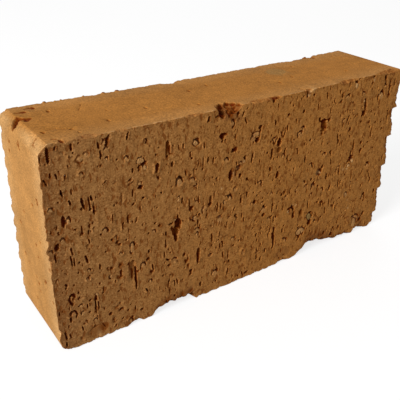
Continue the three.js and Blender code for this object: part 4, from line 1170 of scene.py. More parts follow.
@dataclass(frozen=True)
class Crack(SkinMark):
    """A hairline crack from one place to another."""

    start: Point
    end: Point
    width: float = 0.9
    depth: float = 0.4
    dark: float = 1.0

    def press(self, skins: Skins) -> None:
        """Depth is a round groove along a slightly uneven line between the two places."""
        start, end = np.array(self.start), np.array(self.end)
        along = end - start
        middle = tuple(((start + end) / 2).tolist())
        numbers, offset = skins.near(middle, float(np.linalg.norm(along)) / 2 + 2.0)
        share = np.clip((offset @ along) / (along @ along) + 0.5, 0.0, 1.0)
        off = offset - (share - 0.5)[:, None] * along + 0.3 * skins.wobble(numbers, 2.2)[:, None]
        groove = np.clip(1.0 - (np.linalg.norm(off, axis=1) / (self.width / 2)) ** 2, 0.0, 1.0) ** 0.5
        skins.height[numbers] -= self.depth * groove
        # Painted shade in the crack, darker the deeper it is.
        skins.tint("hollow", numbers, min(self.dark * self.depth, 1.0) * groove)


@dataclass(frozen=True)
class PalePatch(SkinMark):
    """A patch painted paler, to the tint of one of the maps."""

    place: Point
    size: Point
    share: float
    tint: str = "rim"

    def press(self, skins: Skins) -> None:
        """The tint is uneven inside a soft ball."""
        numbers, offset = skins.near(self.place, max(self.size))
        soft = ease(1.4 - 1.4 * np.linalg.norm(offset / np.array(self.size), axis=1))
        share = self.share * soft * (0.8 + 0.4 * skins.wobble(numbers, 1.5))
        skins.tint(self.tint, numbers, np.minimum(share, 1.0))


@dataclass(frozen=True)
class Crumb(SkinMark):
    """A crumb of clay left standing up on an arris."""

    place: Point
    wide: float
    tall: float

    def press(self, skins: Skins) -> None:
        """Height is an uneven dome."""
        numbers, offset = skins.near(self.place, self.wide)
        round_off = np.clip(1.0 - (np.linalg.norm(offset, axis=1) / (self.wide / 2)) ** 2, 0.0, 1.0)
        dome = round_off**0.5 * (1.0 + 0.4 * skins.wobble(numbers, 0.9))
        skins.height[numbers] += self.tall * dome
        skins.tint("torn", numbers, 0.7 * ease(2.0 * round_off))
        skins.tint("hollow", numbers, 0.8 * round_off)


@dataclass(frozen=True)
class Stain(SkinMark):
    """A pale oval on the top where a wet drop dried, with faint rings."""

    place: Point
    length: float
    width: float

    def press(self, skins: Skins) -> None:
        """The tint is even inside the oval, with rings that are slightly darker."""
        numbers, offset = skins.near(self.place, 0.6 * self.length)
        r = np.hypot(offset[:, 0] / self.length, offset[:, 1] / self.width) * 2.0
        r = r * (1.0 + 0.12 * skins.wobble(numbers, 5.0))
        rings = 0.5 + 0.5 * np.cos(r * 2.0 * math.pi * 2.5)
        skins.tint("stain", numbers, ease((1.0 - r) / 0.15) * (0.6 + 0.4 * rings))


def specks(z: float, size: float, depth: float, *places: tuple[float, float]) -> list[Chip]:
    """Small round pits in a level skin at height z, painted dark with shade, one at each x and y."""
    return [Chip((x, y, z), (size, 1.5 * size, 2.0), depth, dark=1.5, red=0.3) for x, y in places]


def crumbled(*places: Point) -> list[Chip]:
    """Small pits where the clay crumbled in a notch, painted dark with shade, one at each place."""
    return [Chip(place, (1.5, 1.5, 1.2), 0.9, dark=1.1) for place in places]


def end_specks(*places: Point) -> list[Chip]:
    """Small brown pits in the left end, painted dark with shade, from each one's y, z and width in mm."""
    sizes = [(1.6, 1.2 * width, 1.2 * width) for _, _, width in places]
    return [Chip((0.0, y, z), size, 0.6, dark=1.5, red=0.3) for (y, z, _), size in zip(places, sizes)]


# Each row gives one mark's fields in order. Places are x, y and z from the left end, front and floor.
SKIN_MARKS: list[SkinMark] = [
    Stain((164.5, 36.5, 114), 15, 12),
    # Pale patches: on the top left bend, partly a painted highlight where it faces the light; in the top
    # notch, painted highlights where the torn slopes catch the light; and a paler middle in the spall at
    # the foot.
    *PalePatch.each(
        ((2.4, 8, 112.6), (6, 24, 5), 0.5), ((1, 44, 111), (5, 8, 5), 0.4),
        ((21.8, 0.4, 3.2), (2, 3, 3.4), 0.55, "grain"),
        ((157.8, 0.2, 110.6), (1.1, 1.2, 1.1), 1.5, "grain"),
        ((158.8, 0.3, 112.8), (1.2, 1.5, 1), 1.4, "grain"),
        ((160.4, 0.5, 113.4), (1.3, 1.5, 1), 1.4, "grain"),
        ((162.2, 0.7, 113.8), (1.3, 1.5, 1), 1.2, "grain"),
    ),
    Chip((2.6, 33, 112.8), (2.6, 2.6, 2.2), 0.9, 0.2, 0.5),
    *Crack.each(
        ((0.6, 32.6, 111.7), (2.1, 34.6, 113.2), 2.2, 1),
        ((2.1, 34.6, 113.2), (3.5, 35.7, 114.2), 2.8, 1.2),
        ((3.5, 35.7, 114.2), (5.1, 35.9, 114.9), 3.4, 0.8, 1.5),
    ),
    Chip((4.8, 35.2, 114.7), (2.2, 3, 1.8), 0.6, 1.7),
    Crack((5.4, 35.6, 114.9), (7.2, 34, 114.9), 3, 0.6, 1.7),
    *Chip.each(
        ((7, 31.2, 114.9), (1.6, 1.6, 2), 0.5, 2, 0.3), ((8.7, 33.2, 114.9), (1.9, 1.6, 2), 0.5, 2, 0.3),
    ),
    *Crack.each(
        ((6.1, 43.3, 114.9), (7.6, 43.1, 114.9), 1.8, 0.4, 1.3),
        ((9.1, 43, 114.9), (10, 43, 114.9), 2.8, 0.5, 1.8),
        ((12.2, 47, 114.8), (14.4, 47.8, 114.8), 2, 0.4, 1.4),
    ),
    Chip((15.4, 46.6, 114.8), (1.9, 2.2, 2), 0.5, 2.2, 0.3),
    *Crack.each(
        ((3.5, 10.4, 114.2), (2.3, 10, 113.3), 1.1, 0.4, 1.3),
        ((2.3, 10, 113.3), (1.2, 9.2, 112.3), 1.1, 0.4, 1.3),
        ((1.2, 9.2, 112.3), (0.9, 6.4, 112.1), 1.1, 0.3),
        ((0, 25.5, 108.2), (0, 24.8, 104.8), 1.4, 0.6, 1.6),
        ((0, 27.2, 106.4), (0, 25.4, 105.4), 1.2, 0.5, 1.5),
    ),
    *Chip.each(
        ((1.6, 12, 1.2), (4, 3.2, 3.2), 1), ((207.5, 48, 114.4), (2.2, 2, 2), 1.2),
    ),
    Crack((99.8, 6.6, 113.4), (97, 2.8, 112), 2.6, 1.4),
    *Chip.each(
        ((96.6, 2, 111.4), (2.8, 2.8, 2.6), 1.5, 0.8), ((101, 4.8, 113.2), (3, 3.2, 2.6), 0.8, 0.4),
        ((101.6, 1.4, 112), (2.4, 2, 2.2), 0.9, 0.5), ((104.8, 4.4, 113.3), (2.4, 3, 2.4), 0.8, 0.4),
        ((107.6, 2.2, 113), (2.6, 2.6, 2.6), 0.7, 0.4), ((104.6, 1.4, 112.2), (2.2, 2, 2.2), 0.7, 0.5),
    ),
    *crumbled(
        (100.5, 3, 112.6), (102.8, 5.5, 113.6), (103.4, 2.8, 112.4), (105.8, 3.2, 112.8), (106.8, 5, 113.6),
        (108.8, 3, 113.4), (104, 6.6, 113.9), (101.6, 0.9, 110.8), (103.8, 0.7, 111), (106, 1, 112),
    ),
    *Crack.each(
        ((154.4, 4.4, 114), (156.2, 0.2, 112.8), 1.6, 1.2),
        ((8.6, 4.8, 114.9), (10.2, 4.5, 114.9), 1.6, 0.4, 1.3),
    ),
    *specks(114.9, 1.2, 0.6, (11.3, 1.7), (8.2, 14), (20.4, 38.6)),
    *specks(114, 1.1, 0.5, (64, 21), (98, 33), (112, 36), (40, 14), (203.5, 16)),
    *specks(114, 1.1, 0.4, (152, 19), (166, 24), (180, 40), (221, 44), (90, 12)),
    Chip((20.7, 11.9, 114.7), (1.5, 1.1, 2), 1.3),
    *Crack.each(
        ((19.6, 12.6, 114.7), (14.8, 15.6, 114.8), 0.8, 0.35),
        ((14.8, 15.6, 114.8), (10.4, 15.9, 114.9), 0.8, 0.3),
        ((22, 7.2, 114.6), (22.4, 5.9, 114.6), 0.9, 0.6),
        ((38.4, 41, 114.4), (33.6, 32.9, 114.4), 0.9, 0.3),
        ((45.6, 27.6, 114.3), (45.4, 26.2, 114.3), 0.9, 0.5),
    ),
    *end_specks(
        (39.3, 103.3, 1.1), (41, 97.9, 1.1), (9.4, 85.1, 1.2), (9, 83.6, 1), (16.4, 79.8, 1),
        (39, 59.3, 1.1), (18.4, 56.5, 1.1), (38.3, 40.4, 1.2), (22.1, 30.6, 1.2), (11.2, 38.8, 1.1),
        (24.8, 33.3, 1), (21.3, 26.6, 1), (31, 69, 0.9), (3.2, 50.6, 1.2), (28, 18, 1), (17.8, 49.8, 0.9),
        (12.1, 37.6, 1), (3.6, 30.8, 1), (34.3, 37.1, 0.9), (11.8, 61.3, 0.9),
    ),
    *Crumb.each(
        ((23.6, 51.6, 114.7), 1.6, 0.7), ((28.8, 51.6, 114.7), 1.4, 0.5), ((32, 51.6, 114.6), 1.4, 0.4),
        ((44.7, 51.6, 114.5), 1.4, 0.5), ((56, 51.6, 114.3), 2.2, 0.6), ((64, 51.6, 114.2), 2.6, 0.6),
        ((202.4, 51.4, 114.4), 3.2, 1.1),
    ),
]


# ---- The brick's body ---------------------------------------------------------------------------------


def add_quads(numbers: Array, flip: bool) -> Array:
    """Quads over a sheet of numbered points.

    Args:
        numbers: vertex numbers on a grid.
        flip: turns the quads over.

    Returns:
        One row of four vertex numbers for each quad.
    """
    quads = np.stack((numbers[:-1, :-1], numbers[1:, :-1], numbers[1:, 1:], numbers[:-1, 1:]), axis=-1)
    quads = quads.reshape(-1, 4)
    return quads[:, ::-1] if flip else quads


def spaced(stops: tuple[float, ...], steps: tuple[float, ...]) -> Array:
    """Grid lines that pass through every stop, with about the given step between each two stops.

    Args:
        stops: the ends and the lines that must be met, in order.
        steps: the step wanted between each stop and the next.

    Returns:
        The lines.
    """
    parts = [
        np.linspace(low, high, max(round((high - low) / step), 1), endpoint=False)
        for low, high, step in zip(stops[:-1], stops[1:], steps)
    ]
    return np.concatenate([*parts, stops[-1:]])


def add_object(name: str, data: bpy.types.ID) -> bpy.types.Object:
    """Makes an object and puts it into the scene."""
    made = bpy.data.objects.new(name, data)
    bpy.context.scene.collection.objects.link(made)
    return made


@dataclass
class BrickBody:
    """The whole brick as one closed mesh. Sizes in mm."""

    block: Block
    step: float = 0.4
    step_across: float = 0.7
    fine_band: float = 3.2
    arris_zone: float = 14.0
    bed_fade: float = 0.9
    skin_fade: float = 1.5
    crumb_size: float = 2.2
    crumb_high: float = 0.5
    rim_on_end: float = 1.0
    rim_on_side: float = 0.8
    rim_grain: float = 5.0
    tint_reach: float = 14.0
    tint_fade: float = 12.0
    wave_high: float = 0.08
    line_high: float = 0.008
    rub_high: float = 0.1
    triangles: int = 194_000
    hold: float = 2e-5
    sharp_degrees: float = 30.0
    maps: dict[str, Array] = field(default_factory=dict)

    def build(self) -> bpy.types.Object:
        """Makes the mesh: a box of quads, broken arrises, the die's section, then the relief.

        Returns:
            The object, at the origin, with its colour maps as point attributes.
        """
        section = DieSection(self.block)
        lines = self._grid_lines(section)
        plain, quads, sheets = self._box(lines)
        for name in ("cut", "torn", "hollow", "grain", "stone", "rim", "stain"):
            self.maps[name] = np.zeros(len(plain))
        points = self._break_arrises(plain, sheets)
        points[:, 0], points[:, 2] = section.bend(points[:, 0], points[:, 2])
        height = self._relief(plain, points, lines, sheets)
        points += self._normals(points, quads) * height[:, None]
        points[:, 2] = np.maximum(points[:, 2], 0.0)
        return self._thin_out(self._mesh(points, quads), sheets)

    def _grid_lines(self, section: DieSection) -> tuple[Array, Array, Array]:
        """The grid's lines. They meet the top's two creases, and are close near the arrises.

        Args:
            section: the die's section, which says where the creases are.

        Returns:
            The x, y and z of the lines.
        """
        block, fine = self.block, self.fine_band
        crease, half = block.length / 2 - section.top.run, block.thickness / 2
        return (
            spaced((block.left, -crease, crease, block.right), (self.step,) * 3),
            spaced((-half, fine - half, half - fine, half), (self.step, self.step_across, self.step)),
            spaced((0.0, block.width), (self.step,)),
        )

    def _box(self, lines: tuple[Array, Array, Array]) -> tuple[Array, Array, dict[str, Array]]:
        """A closed box of quads whose faces share their edge points.

        Args:
            lines: the grid's x, y and z.

        Returns:
            The points, the quads, and each face's sheet of vertex numbers.
        """
        shell = np.zeros([line.size for line in lines], bool)
        shell[[0, -1]] = True
        shell[:, [0, -1]] = True
        shell[:, :, [0, -1]] = True
        numbers = np.full(shell.shape, -1, np.int32)
        numbers[shell] = np.arange(shell.sum(), dtype=np.int32)
        points = np.stack([line[index] for line, index in zip(lines, np.nonzero(shell))], axis=-1)
        sheets = {
            "left": numbers[0],
            "right": numbers[-1],
            "front": numbers[:, 0],
            "back": numbers[:, -1],
            "bottom": numbers[:, :, 0],
            "top": numbers[:, :, -1],
        }
        flipped = ("left", "back", "bottom")
        quads = np.concatenate([add_quads(sheet, name in flipped) for name, sheet in sheets.items()])
        return points, quads, sheets

    def _break_arrises(self, points: Array, sheets: dict[str, Array]) -> Array:
        """Wears and tears the arrises of both bed faces, and maps where cut or torn clay shows.

        Args:
            points: the plain box.
            sheets: each face's vertex numbers.

        Returns:
            The moved points.
        """
        half = self.block.thickness / 2
        moved = points.copy()
        for name, arris in (
            ("front", Arris(self.block, -half, FRONT_TEARS, FRONT_LIPS, Seed.FRONT_ARRIS)),
            ("back", Arris(self.block, half, BACK_TEARS, [], Seed.BACK_ARRIS)),
        ):
            bed = sheets[name].ravel()
            near = np.abs(points[:, 1] - arris.face_y) < self.arris_zone
            skin = np.setdiff1d(np.nonzero(near)[0], bed)
            moved[skin], self.maps["torn"][skin], self.maps["cut"][skin] = arris.cut_skin(points[skin])
            moved[bed], self.maps["torn"][bed] = arris.cut_bed(points[bed])
            moved[:, 0] += arris.drawn_out(points)
            self.maps["cut"][bed] = 1.0
        return moved

    def _relief(
        self, plain: Array, points: Array, lines: tuple[Array, Array, Array], sheets: dict[str, Array]
    ) -> Array:
        """Height of every point above the plain surface.

        Bed faces take their maps, eased out near the arris. Skins get slow waves, extrusion lines along
        Y and their own marks. Torn clay gets crumbs from noise in space, which runs on round the arris,
        and painted shade where the crumbs sink.

        Args:
            plain: the points of the plain box.
            points: the bent surface.
            lines: the grid's x, y and z.
            sheets: each face's vertex numbers.

        Returns:
            Heights in mm, negative into the clay.
        """
        height, torn_edge = np.zeros(len(points)), self.maps["torn"].copy()
        edge_x, edge_z = (np.minimum(line - line[0], line[-1] - line) for line in (lines[0], lines[2]))
        edge = np.minimum(edge_x[:, None], edge_z[None, :])
        for name, face in (("front", FRONT_FACE), ("back", BACK_FACE)):
            sheet = sheets[name]
            at = points[sheet]
            relief = face.relief(at[..., 0] - self.block.left, at[..., 2])
            height[sheet] = -relief.depth * ease(edge / self.bed_fade)
            for key in ("hollow", "grain", "stone", "torn"):
                raise_map(self.maps[key], sheet, getattr(relief, key))
        back = self.block.thickness / 2 - np.abs(plain[:, 1])
        height += ease(back / self.skin_fade) * self._skin_relief(points)
        self.maps["rim"] = self._rim_and_highlight(plain, back)
        crumbs = ClayNoise(Seed.TORN_CLAY).layered(*(points / self.crumb_size).T, 3)
        height += torn_edge * (self.crumb_high * crumbs - 0.15)
        # Painted shade on torn clay, where its crumbs sink lowest.
        raise_map(self.maps["hollow"], slice(None), 0.7 * torn_edge * ease(0.3 - 2.0 * crumbs))
        skins = Skins(self.block, points, height, self.maps)
        for mark in SKIN_MARKS:
            mark.press(skins)
        return height

    def _rim_and_highlight(self, plain: Array, back: Array) -> Array:
        """The paler rim of the skins, wider and with a deeper tint behind it on the ends. The rim is partly
        paler clay at the edge and partly a painted highlight where the edge catches the light.

        Args:
            plain: the points of the plain box.
            back: how far each one lies from the nearer bed face.

        Returns:
            The map, from 0 to 1.
        """
        on_end = np.abs(plain[:, 0]) > self.block.length / 2 - 1e-6
        uneven = ClayNoise(Seed.RIM).layered(*(plain / self.rim_grain).T, 2)
        width = np.where(on_end, self.rim_on_end, self.rim_on_side) * (1.0 + 0.5 * uneven)
        tint = np.where(on_end, 0.4, 0.2) * ease((self.tint_reach - back) / self.tint_fade)
        return np.maximum(ease((width - back) / 0.5), tint) * (back > 0.0)

    def _skin_relief(self, points: Array) -> Array:
        """Slow waves, fine lines that the die drew along Y, and short ones on the top left bend.

        Args:
            points: the bent surface.

        Returns:
            Heights in mm.
        """
        noise = ClayNoise(Seed.SKINS)
        x, y, z = points.T
        waves = noise.layered(x / 32, y / 26, z / 32)
        lines = noise.layered(x / 1.6, y / 30, z / 1.6, 2)
        inset, radius, sunk = 2.0, 3.0, 0.07
        off = np.hypot(x - self.block.left - inset, z - self.block.width + inset)
        bend = ease(2.0 - off / radius)
        rubbed = noise.layered(x / 0.9, y / 5.0, z / 0.9, 2)
        return self.wave_high * waves - sunk + self.line_high * lines + self.rub_high * bend * rubbed

    def _normals(self, points: Array, quads: Array) -> Array:
        """Unit normals: the cross products of each quad's diagonals, added up at its corners.

        Args:
            points, quads: the closed surface.

        Returns:
            One normal for each point.
        """
        diagonal = points[quads[:, 2]] - points[quads[:, 0]]
        cross = np.cross(diagonal, points[quads[:, 3]] - points[quads[:, 1]])
        corners = quads.ravel()
        sides = [np.bincount(corners, np.repeat(side, 4), len(points)) for side in cross.T]
        total = np.stack(sides, axis=-1)
        return total / np.maximum(np.linalg.norm(total, axis=1, keepdims=True), 1e-9)

    def _mesh(self, points: Array, quads: Array) -> bpy.types.Object:
        """Puts the arrays into a mesh object, with the colour maps as point attributes.

        Args:
            points: places in mm.
            quads: four vertex numbers for each face.

        Returns:
            The object.
        """
        mesh = bpy.data.meshes.new("brick_body")
        mesh.vertices.add(len(points))
        mesh.vertices.foreach_set("co", (points * MM).astype(np.float32).ravel())
        mesh.loops.add(quads.size)
        mesh.loops.foreach_set("vertex_index", quads.astype(np.int32).ravel())
        mesh.polygons.add(len(quads))
        mesh.polygons.foreach_set("loop_start", np.arange(0, quads.size, 4, dtype=np.int32))
        mesh.update(calc_edges=True)
        for name, values in self.maps.items():
            layer = mesh.attributes.new(name, "FLOAT", "POINT")
            layer.data.foreach_set("value", values.astype(np.float32))
        return add_object("brick_body", mesh)

    def _thin_out(self, brick: bpy.types.Object, sheets: dict[str, Array]) -> bpy.types.Object:
        """Collapses edges where the surface is flat, until the piece is within its triangles.

        A point's weight is 1 where edges may go freely and less where a map changes on a skin.

        Args:
            brick: the dense mesh object.
            sheets: each face's vertex numbers.

        Returns:
            The object, with the thinned mesh.
        """
        mesh = brick.data
        busy = np.zeros(len(mesh.vertices))
        for name in ("cut", "torn", "hollow", "stain"):
            busy = np.maximum(busy, np.clip(4.0 * self.maps[name] * (1.0 - self.maps[name]), 0.0, 1.0))
        busy = np.maximum(busy, 0.6 * self.maps["rim"])
        for name in ("front", "back"):
            busy[sheets[name]] *= 0.3
        group = brick.vertex_groups.new(name="free")
        steps, most = 10.0, 0.9
        level = np.round(steps * (1.0 - most * busy)) / steps
        for share in np.unique(level).tolist():
            group.add(np.nonzero(level == share)[0].tolist(), share, "REPLACE")
        before = 2 * len(mesh.polygons)
        thin = brick.modifiers.new("thin_out", "DECIMATE")
        thin.ratio = self.triangles / before
        thin.vertex_group = group.name
        thin.vertex_group_factor = self.hold
        graph = bpy.context.evaluated_depsgraph_get()
        thinned = bpy.data.meshes.new_from_object(brick.evaluated_get(graph))
        brick.modifiers.clear()
        brick.vertex_groups.clear()
        brick.data = thinned
        thinned.shade_smooth()
        thinned.set_sharp_from_angle(angle=math.radians(self.sharp_degrees))
        left = sum(len(face.vertices) - 2 for face in thinned.polygons)
        log.info("brick_body: %d triangles from %d", left, before)
        return brick


# ---- Fired clay ---------------------------------------------------------------------------------------


def linear(colour: str) -> tuple[float, float, float, float]:
    """An sRGB hex colour, such as "#c08c52", as linear red, green and blue, with a full alpha."""
    shares = [int(colour[start : start + 2], 16) / 255 for start in (1, 3, 5)]
    light = [s / 12.92 if s <= 0.04045 else ((s + 0.055) / 1.055) ** 2.4 for s in shares]
    return (*light, 1.0)


def empty_tree(owner: Union[bpy.types.Material, bpy.types.World]) -> Tree:
    """A material's or world's node tree, with no node in it."""
    owner.use_nodes = True
    owner.node_tree.nodes.clear()
    return owner.node_tree


def add_node(
    tree: Tree,
    kind: str,
    sockets: dict[Union[int, str], Setting] | None = None,
    **settings: object,
) -> bpy.types.Node:
    """Adds a node with its settings, values and links.

    Args:
        tree: the material's or world's node tree.
        kind: the node's type.
        sockets: input name or number to a value or to another node's output.
        settings: properties of the node itself.

    Returns:
        The node.
    """
    node = tree.nodes.new(kind)
    for name, value in settings.items():
        setattr(node, name, value)
    for name, value in (sockets or {}).items():
        if isinstance(value, bpy.types.NodeSocket):
            tree.links.new(value, node.inputs[name])
        else:
            node.inputs[name].default_value = value
    return node


@dataclass(frozen=True)
class ClayTree:
    """A material's node tree and its coordinates, with the operations that a finish is made of."""

    tree: Tree
    place: Socket

    def along(self) -> Socket:
        """The place along the brick, in metres from its middle."""
        return add_node(self.tree, "ShaderNodeSeparateXYZ", {0: self.place}).outputs["X"]

    def attribute(self, name: str) -> Socket:
        """A point attribute of the mesh as a number."""
        return add_node(self.tree, "ShaderNodeAttribute", attribute_name=name).outputs["Fac"]

    def math(self, operation: str, first: Setting, second: Setting) -> Socket:
        """One sum, product or other operation on two numbers."""
        return add_node(self.tree, "ShaderNodeMath", {0: first, 1: second}, operation=operation).outputs[0]

    def span(self, value: Socket, low: float, high: float, top: float = 1.0, bottom: float = 0.0) -> Socket:
        """Stretches the values from `low` to `high` to between `bottom` and `top`, and clamps them."""
        sockets = {"Value": value, "From Min": low, "From Max": high, "To Min": bottom, "To Max": top}
        return add_node(self.tree, "ShaderNodeMapRange", sockets).outputs["Result"]

    def noise(self, size_mm: float, detail: float = 3.0, stretch: Point | None = None) -> Socket:
        """Noise from 0 to 1, with its middle at 0.5.

        Args:
            size_mm: the size of its features.
            detail: how many finer octaves are added.
            stretch: a scale along each axis, which draws the features out where it is small.

        Returns:
            The noise.
        """
        place = self.place
        if stretch:
            sockets = {"Vector": place, "Scale": stretch}
            place = add_node(self.tree, "ShaderNodeMapping", sockets).outputs["Vector"]
        sockets = {"Vector": place, "Scale": 1.0 / (size_mm * MM), "Detail": detail}
        return add_node(self.tree, "ShaderNodeTexNoise", sockets).outputs["Fac"]

    def blend(self, factor: Setting, first: Setting, second: Setting, mode: str = "MIX") -> Socket:
        """Mixes two colours, from the first at a factor of 0 to the second at 1."""
        sockets = {0: factor, 6: first, 7: second}
        settings = {"data_type": "RGBA", "blend_type": mode}
        return add_node(self.tree, "ShaderNodeMix", sockets, **settings).outputs[2]

    def shade(self, colour: Socket, size_mm: float, share: float, stretch: Point | None = None) -> Socket:
        """Makes a colour lighter and darker by up to a share, in spots of a given size."""
        noise = self.noise(size_mm, 2.0, stretch)
        shade = self.span(noise, 0.3, 0.7, 1.0 + 0.75 * share, 1.0 - share)
        return self.blend(1.0, colour, shade, "MULTIPLY")


@dataclass(frozen=True)
class SkinFinish:
    """Die skin of fired clay, pressed and sealed by the oiled die: fine, dense and even. The top and
    bottom are a warm tan. The ends are a paler ochre, partly their own colour and partly painted light
    for the brighter look of the lit end, and palest at their arrises, partly as a painted highlight
    where the edge catches the light."""

    long_side: str = "#c0803a"
    # The ends' paler ochre is partly painted light.
    end_side: str = "#c08a4d"
    # Colour of the pale rim along the arrises: partly paler clay, partly a painted highlight.
    rim: str = "#dfb57f"
    stain: str = "#b0844a"
    dash: str = "#96602f"
    end_mm: tuple[float, float] = (4.6, 2.0)
    cloud_mm: float = 30.0
    mottle_mm: float = 6.0
    blotch_mm: float = 11.0
    band_mm: float = 4.0
    dash_mm: float = 1.6
    grit_mm: float = 0.8
    grit_high_mm: float = 0.035


@dataclass(frozen=True)
class CutFinish:
    """Wire-cut clay: the open, sandy inside of the column, browner and rougher than the skin, with red
    flecks of ground brick, painted shade in its hollows, pale grains and redder clay where it tore. The
    pale grain colour also paints highlights on lumps and on torn slopes that face the light."""

    base: str = "#cb8740"
    # The colour toward the left end: partly the clay's own tone, partly painted light for how the light
    # falls along the face.
    far: str = "#b78048"
    dark: str = "#8f5a28"
    pale: str = "#c38d50"
    fleck: str = "#84440f"
    # Painted shade of shallow and deep hollows. The shallow colour also paints dark sand specks and the
    # orange floor of spalls.
    shallow: str = "#86450b"
    deep: str = "#6a2400"
    torn: str = "#7f4a24"
    # Pale grains, and painted highlights on lumps and on slopes that face the light.
    grain: str = "#d9a66a"
    stone: str = "#8f7748"
    far_mm: tuple[float, float] = (20.0, -110.0)
    scorched_mm: tuple[float, float] = (12.0, 2.0)
    border_mm: float = 1.2
    mottle_mm: float = 5.0
    streak_mm: float = 1.2
    stretch: float = 0.2
    fleck_mm: float = 1.8
    grit_mm: float = 0.8
    grit_high_mm: float = 0.1


@dataclass(frozen=True)
class FiredClay:
    """The brick's one material: unglazed fired clay, matt all over.

    The point attribute `cut` says where wire-cut clay shows instead of die skin.
    """

    block: Block
    skin: SkinFinish = SkinFinish()
    cut: CutFinish = CutFinish()
    roughness: float = 0.92
    ior: float = 1.5
    specular: float = 0.1

    def make(self) -> bpy.types.Material:
        """Builds the node tree.

        Returns:
            The material.
        """
        material = bpy.data.materials.new("fired_clay_wire_cut")
        tree = empty_tree(material)
        clay = ClayTree(tree, add_node(tree, "ShaderNodeTexCoord").outputs["Object"])
        share = self._cut_share(clay)
        skin_colour, skin_height = self._skin(clay)
        cut_colour, cut_height = self._cut(clay)
        colour = clay.blend(share, skin_colour, cut_colour)
        # Painted shade in hollows, chips and cracks, darker the deeper they are.
        for low, high, tone in ((0.05, 0.6, self.cut.shallow), (0.45, 1.0, self.cut.deep)):
            hollow = clay.span(clay.attribute("hollow"), low, high)
            colour = clay.blend(hollow, colour, linear(tone))
        # Pale grains and grey stones. The pale grain map also holds painted highlights.
        for name, tone in (("grain", self.cut.grain), ("stone", self.cut.stone)):
            colour = clay.blend(clay.attribute(name), colour, linear(tone))
        heights = {0: share, 2: skin_height, 3: cut_height}
        height = add_node(tree, "ShaderNodeMix", heights, data_type="FLOAT").outputs[0]
        bump = add_node(tree, "ShaderNodeBump", {"Strength": 1.0, "Distance": 1.0, "Height": height})
        sockets = {
            "Base Color": colour,
            "Roughness": self.roughness,
            "IOR": self.ior,
            "Specular IOR Level": self.specular,
            "Normal": bump.outputs["Normal"],
        }
        shader = add_node(tree, "ShaderNodeBsdfPrincipled", sockets)
        add_node(tree, "ShaderNodeOutputMaterial", {"Surface": shader.outputs["BSDF"]})
        return material

    def _cut_share(self, clay: ClayTree) -> Socket:
        """Where cut clay shows: the `cut` map, with its border made ragged by grit-sized noise."""
        ragged = clay.math("MULTIPLY", clay.noise(self.cut.border_mm), 0.3)
        return clay.span(clay.math("ADD", clay.attribute("cut"), ragged), 0.55, 0.75)

    def _skin(self, clay: ClayTree) -> tuple[Socket, Socket]:
        """Clouds, blotches, faint bands and brown dashes over the tan of the skin, and a fine grit.

        Args:
            clay: the material's tree.

        Returns:
            Colour and height.
        """
        finish = self.skin
        from_middle = clay.math("ABSOLUTE", clay.along(), 0.0)
        half = self.block.length / 2 * MM
        end = clay.span(from_middle, *(half - inset * MM for inset in finish.end_mm))
        colour = clay.blend(end, linear(finish.long_side), linear(finish.end_side))
        # The rim is partly a painted highlight along the arrises. The stain is where a drop dried.
        for name, share, tone in (("rim", 0.75, finish.rim), ("stain", 1.0, finish.stain)):
            tint = clay.math("MULTIPLY", clay.attribute(name), share)
            colour = clay.blend(tint, colour, linear(tone))
        for size, share in ((finish.cloud_mm, 0.1), (finish.mottle_mm, 0.1), (finish.grit_mm, 0.3)):
            colour = clay.shade(colour, size, share)
        colour = clay.blend(end, colour, clay.shade(colour, finish.blotch_mm, 0.1))
        colour = clay.shade(colour, finish.band_mm, 0.035, (0.3, 1.0, 0.12))
        dash = clay.span(clay.noise(finish.dash_mm, 2.0, (1.0, 0.5, 0.7)), 0.66, 0.76, 0.6)
        colour = clay.blend(dash, colour, linear(finish.dash))
        grit = clay.noise(finish.grit_mm, 2.0)
        return colour, clay.math("MULTIPLY", grit, finish.grit_high_mm * MM)

    def _cut(self, clay: ClayTree) -> tuple[Socket, Socket]:
        """Dark mottling, drag streaks, sand, red flecks and torn clay over the brown of the cut, and grit.

        Args:
            clay: the material's tree.

        Returns:
            Colour and height.
        """
        finish = self.cut
        along = clay.along()
        # Greyer and darker toward the left end: partly the clay's own tone, partly painted light.
        far = clay.span(along, *(place * MM for place in finish.far_mm))
        colour = clay.blend(far, linear(finish.base), linear(finish.far))
        mottle = clay.span(clay.noise(finish.mottle_mm, 4.0), 0.4, 0.75, 0.5)
        colour = clay.blend(mottle, colour, linear(finish.dark))
        half = self.block.length / 2 * MM
        scorched = clay.span(along, *(inset * MM - half for inset in finish.scorched_mm), 0.45)
        colour = clay.blend(scorched, colour, linear(finish.torn))
        streaks = clay.noise(finish.streak_mm, 3.0, (1.0, 1.0, finish.stretch))
        for low, high, share, tone in ((0.52, 0.75, 0.4, finish.pale), (0.46, 0.3, 0.4, finish.dark)):
            colour = clay.blend(clay.span(streaks, low, high, share), colour, linear(tone))
        sand = clay.noise(finish.grit_mm, 1.0)
        far_more = clay.math("ADD", far, 1.0)
        colour = clay.shade(colour, finish.grit_mm, 0.27)
        for low, high, share, tone in ((0.65, 0.75, 0.35, finish.grain), (0.36, 0.28, 0.4, finish.shallow)):
            speck = clay.math("MULTIPLY", clay.span(sand, low, high, share), far_more)
            colour = clay.blend(speck, colour, linear(tone))
        fleck = clay.span(clay.noise(finish.fleck_mm, 2.0, (1.0, 1.0, 0.5)), 0.57, 0.66, 0.75)
        colour = clay.blend(fleck, colour, linear(finish.fleck))
        torn = clay.math("MULTIPLY", clay.attribute("torn"), 0.7)
        colour = clay.blend(torn, colour, linear(finish.torn))
        grit = clay.noise(finish.grit_mm, 3.0)
        high = clay.math("SUBTRACT", grit, clay.math("MULTIPLY", fleck, 1.2))
        return colour, clay.math("MULTIPLY", high, finish.grit_high_mm * MM)


# ---- The studio ----------------------------------------------------------------------------------------


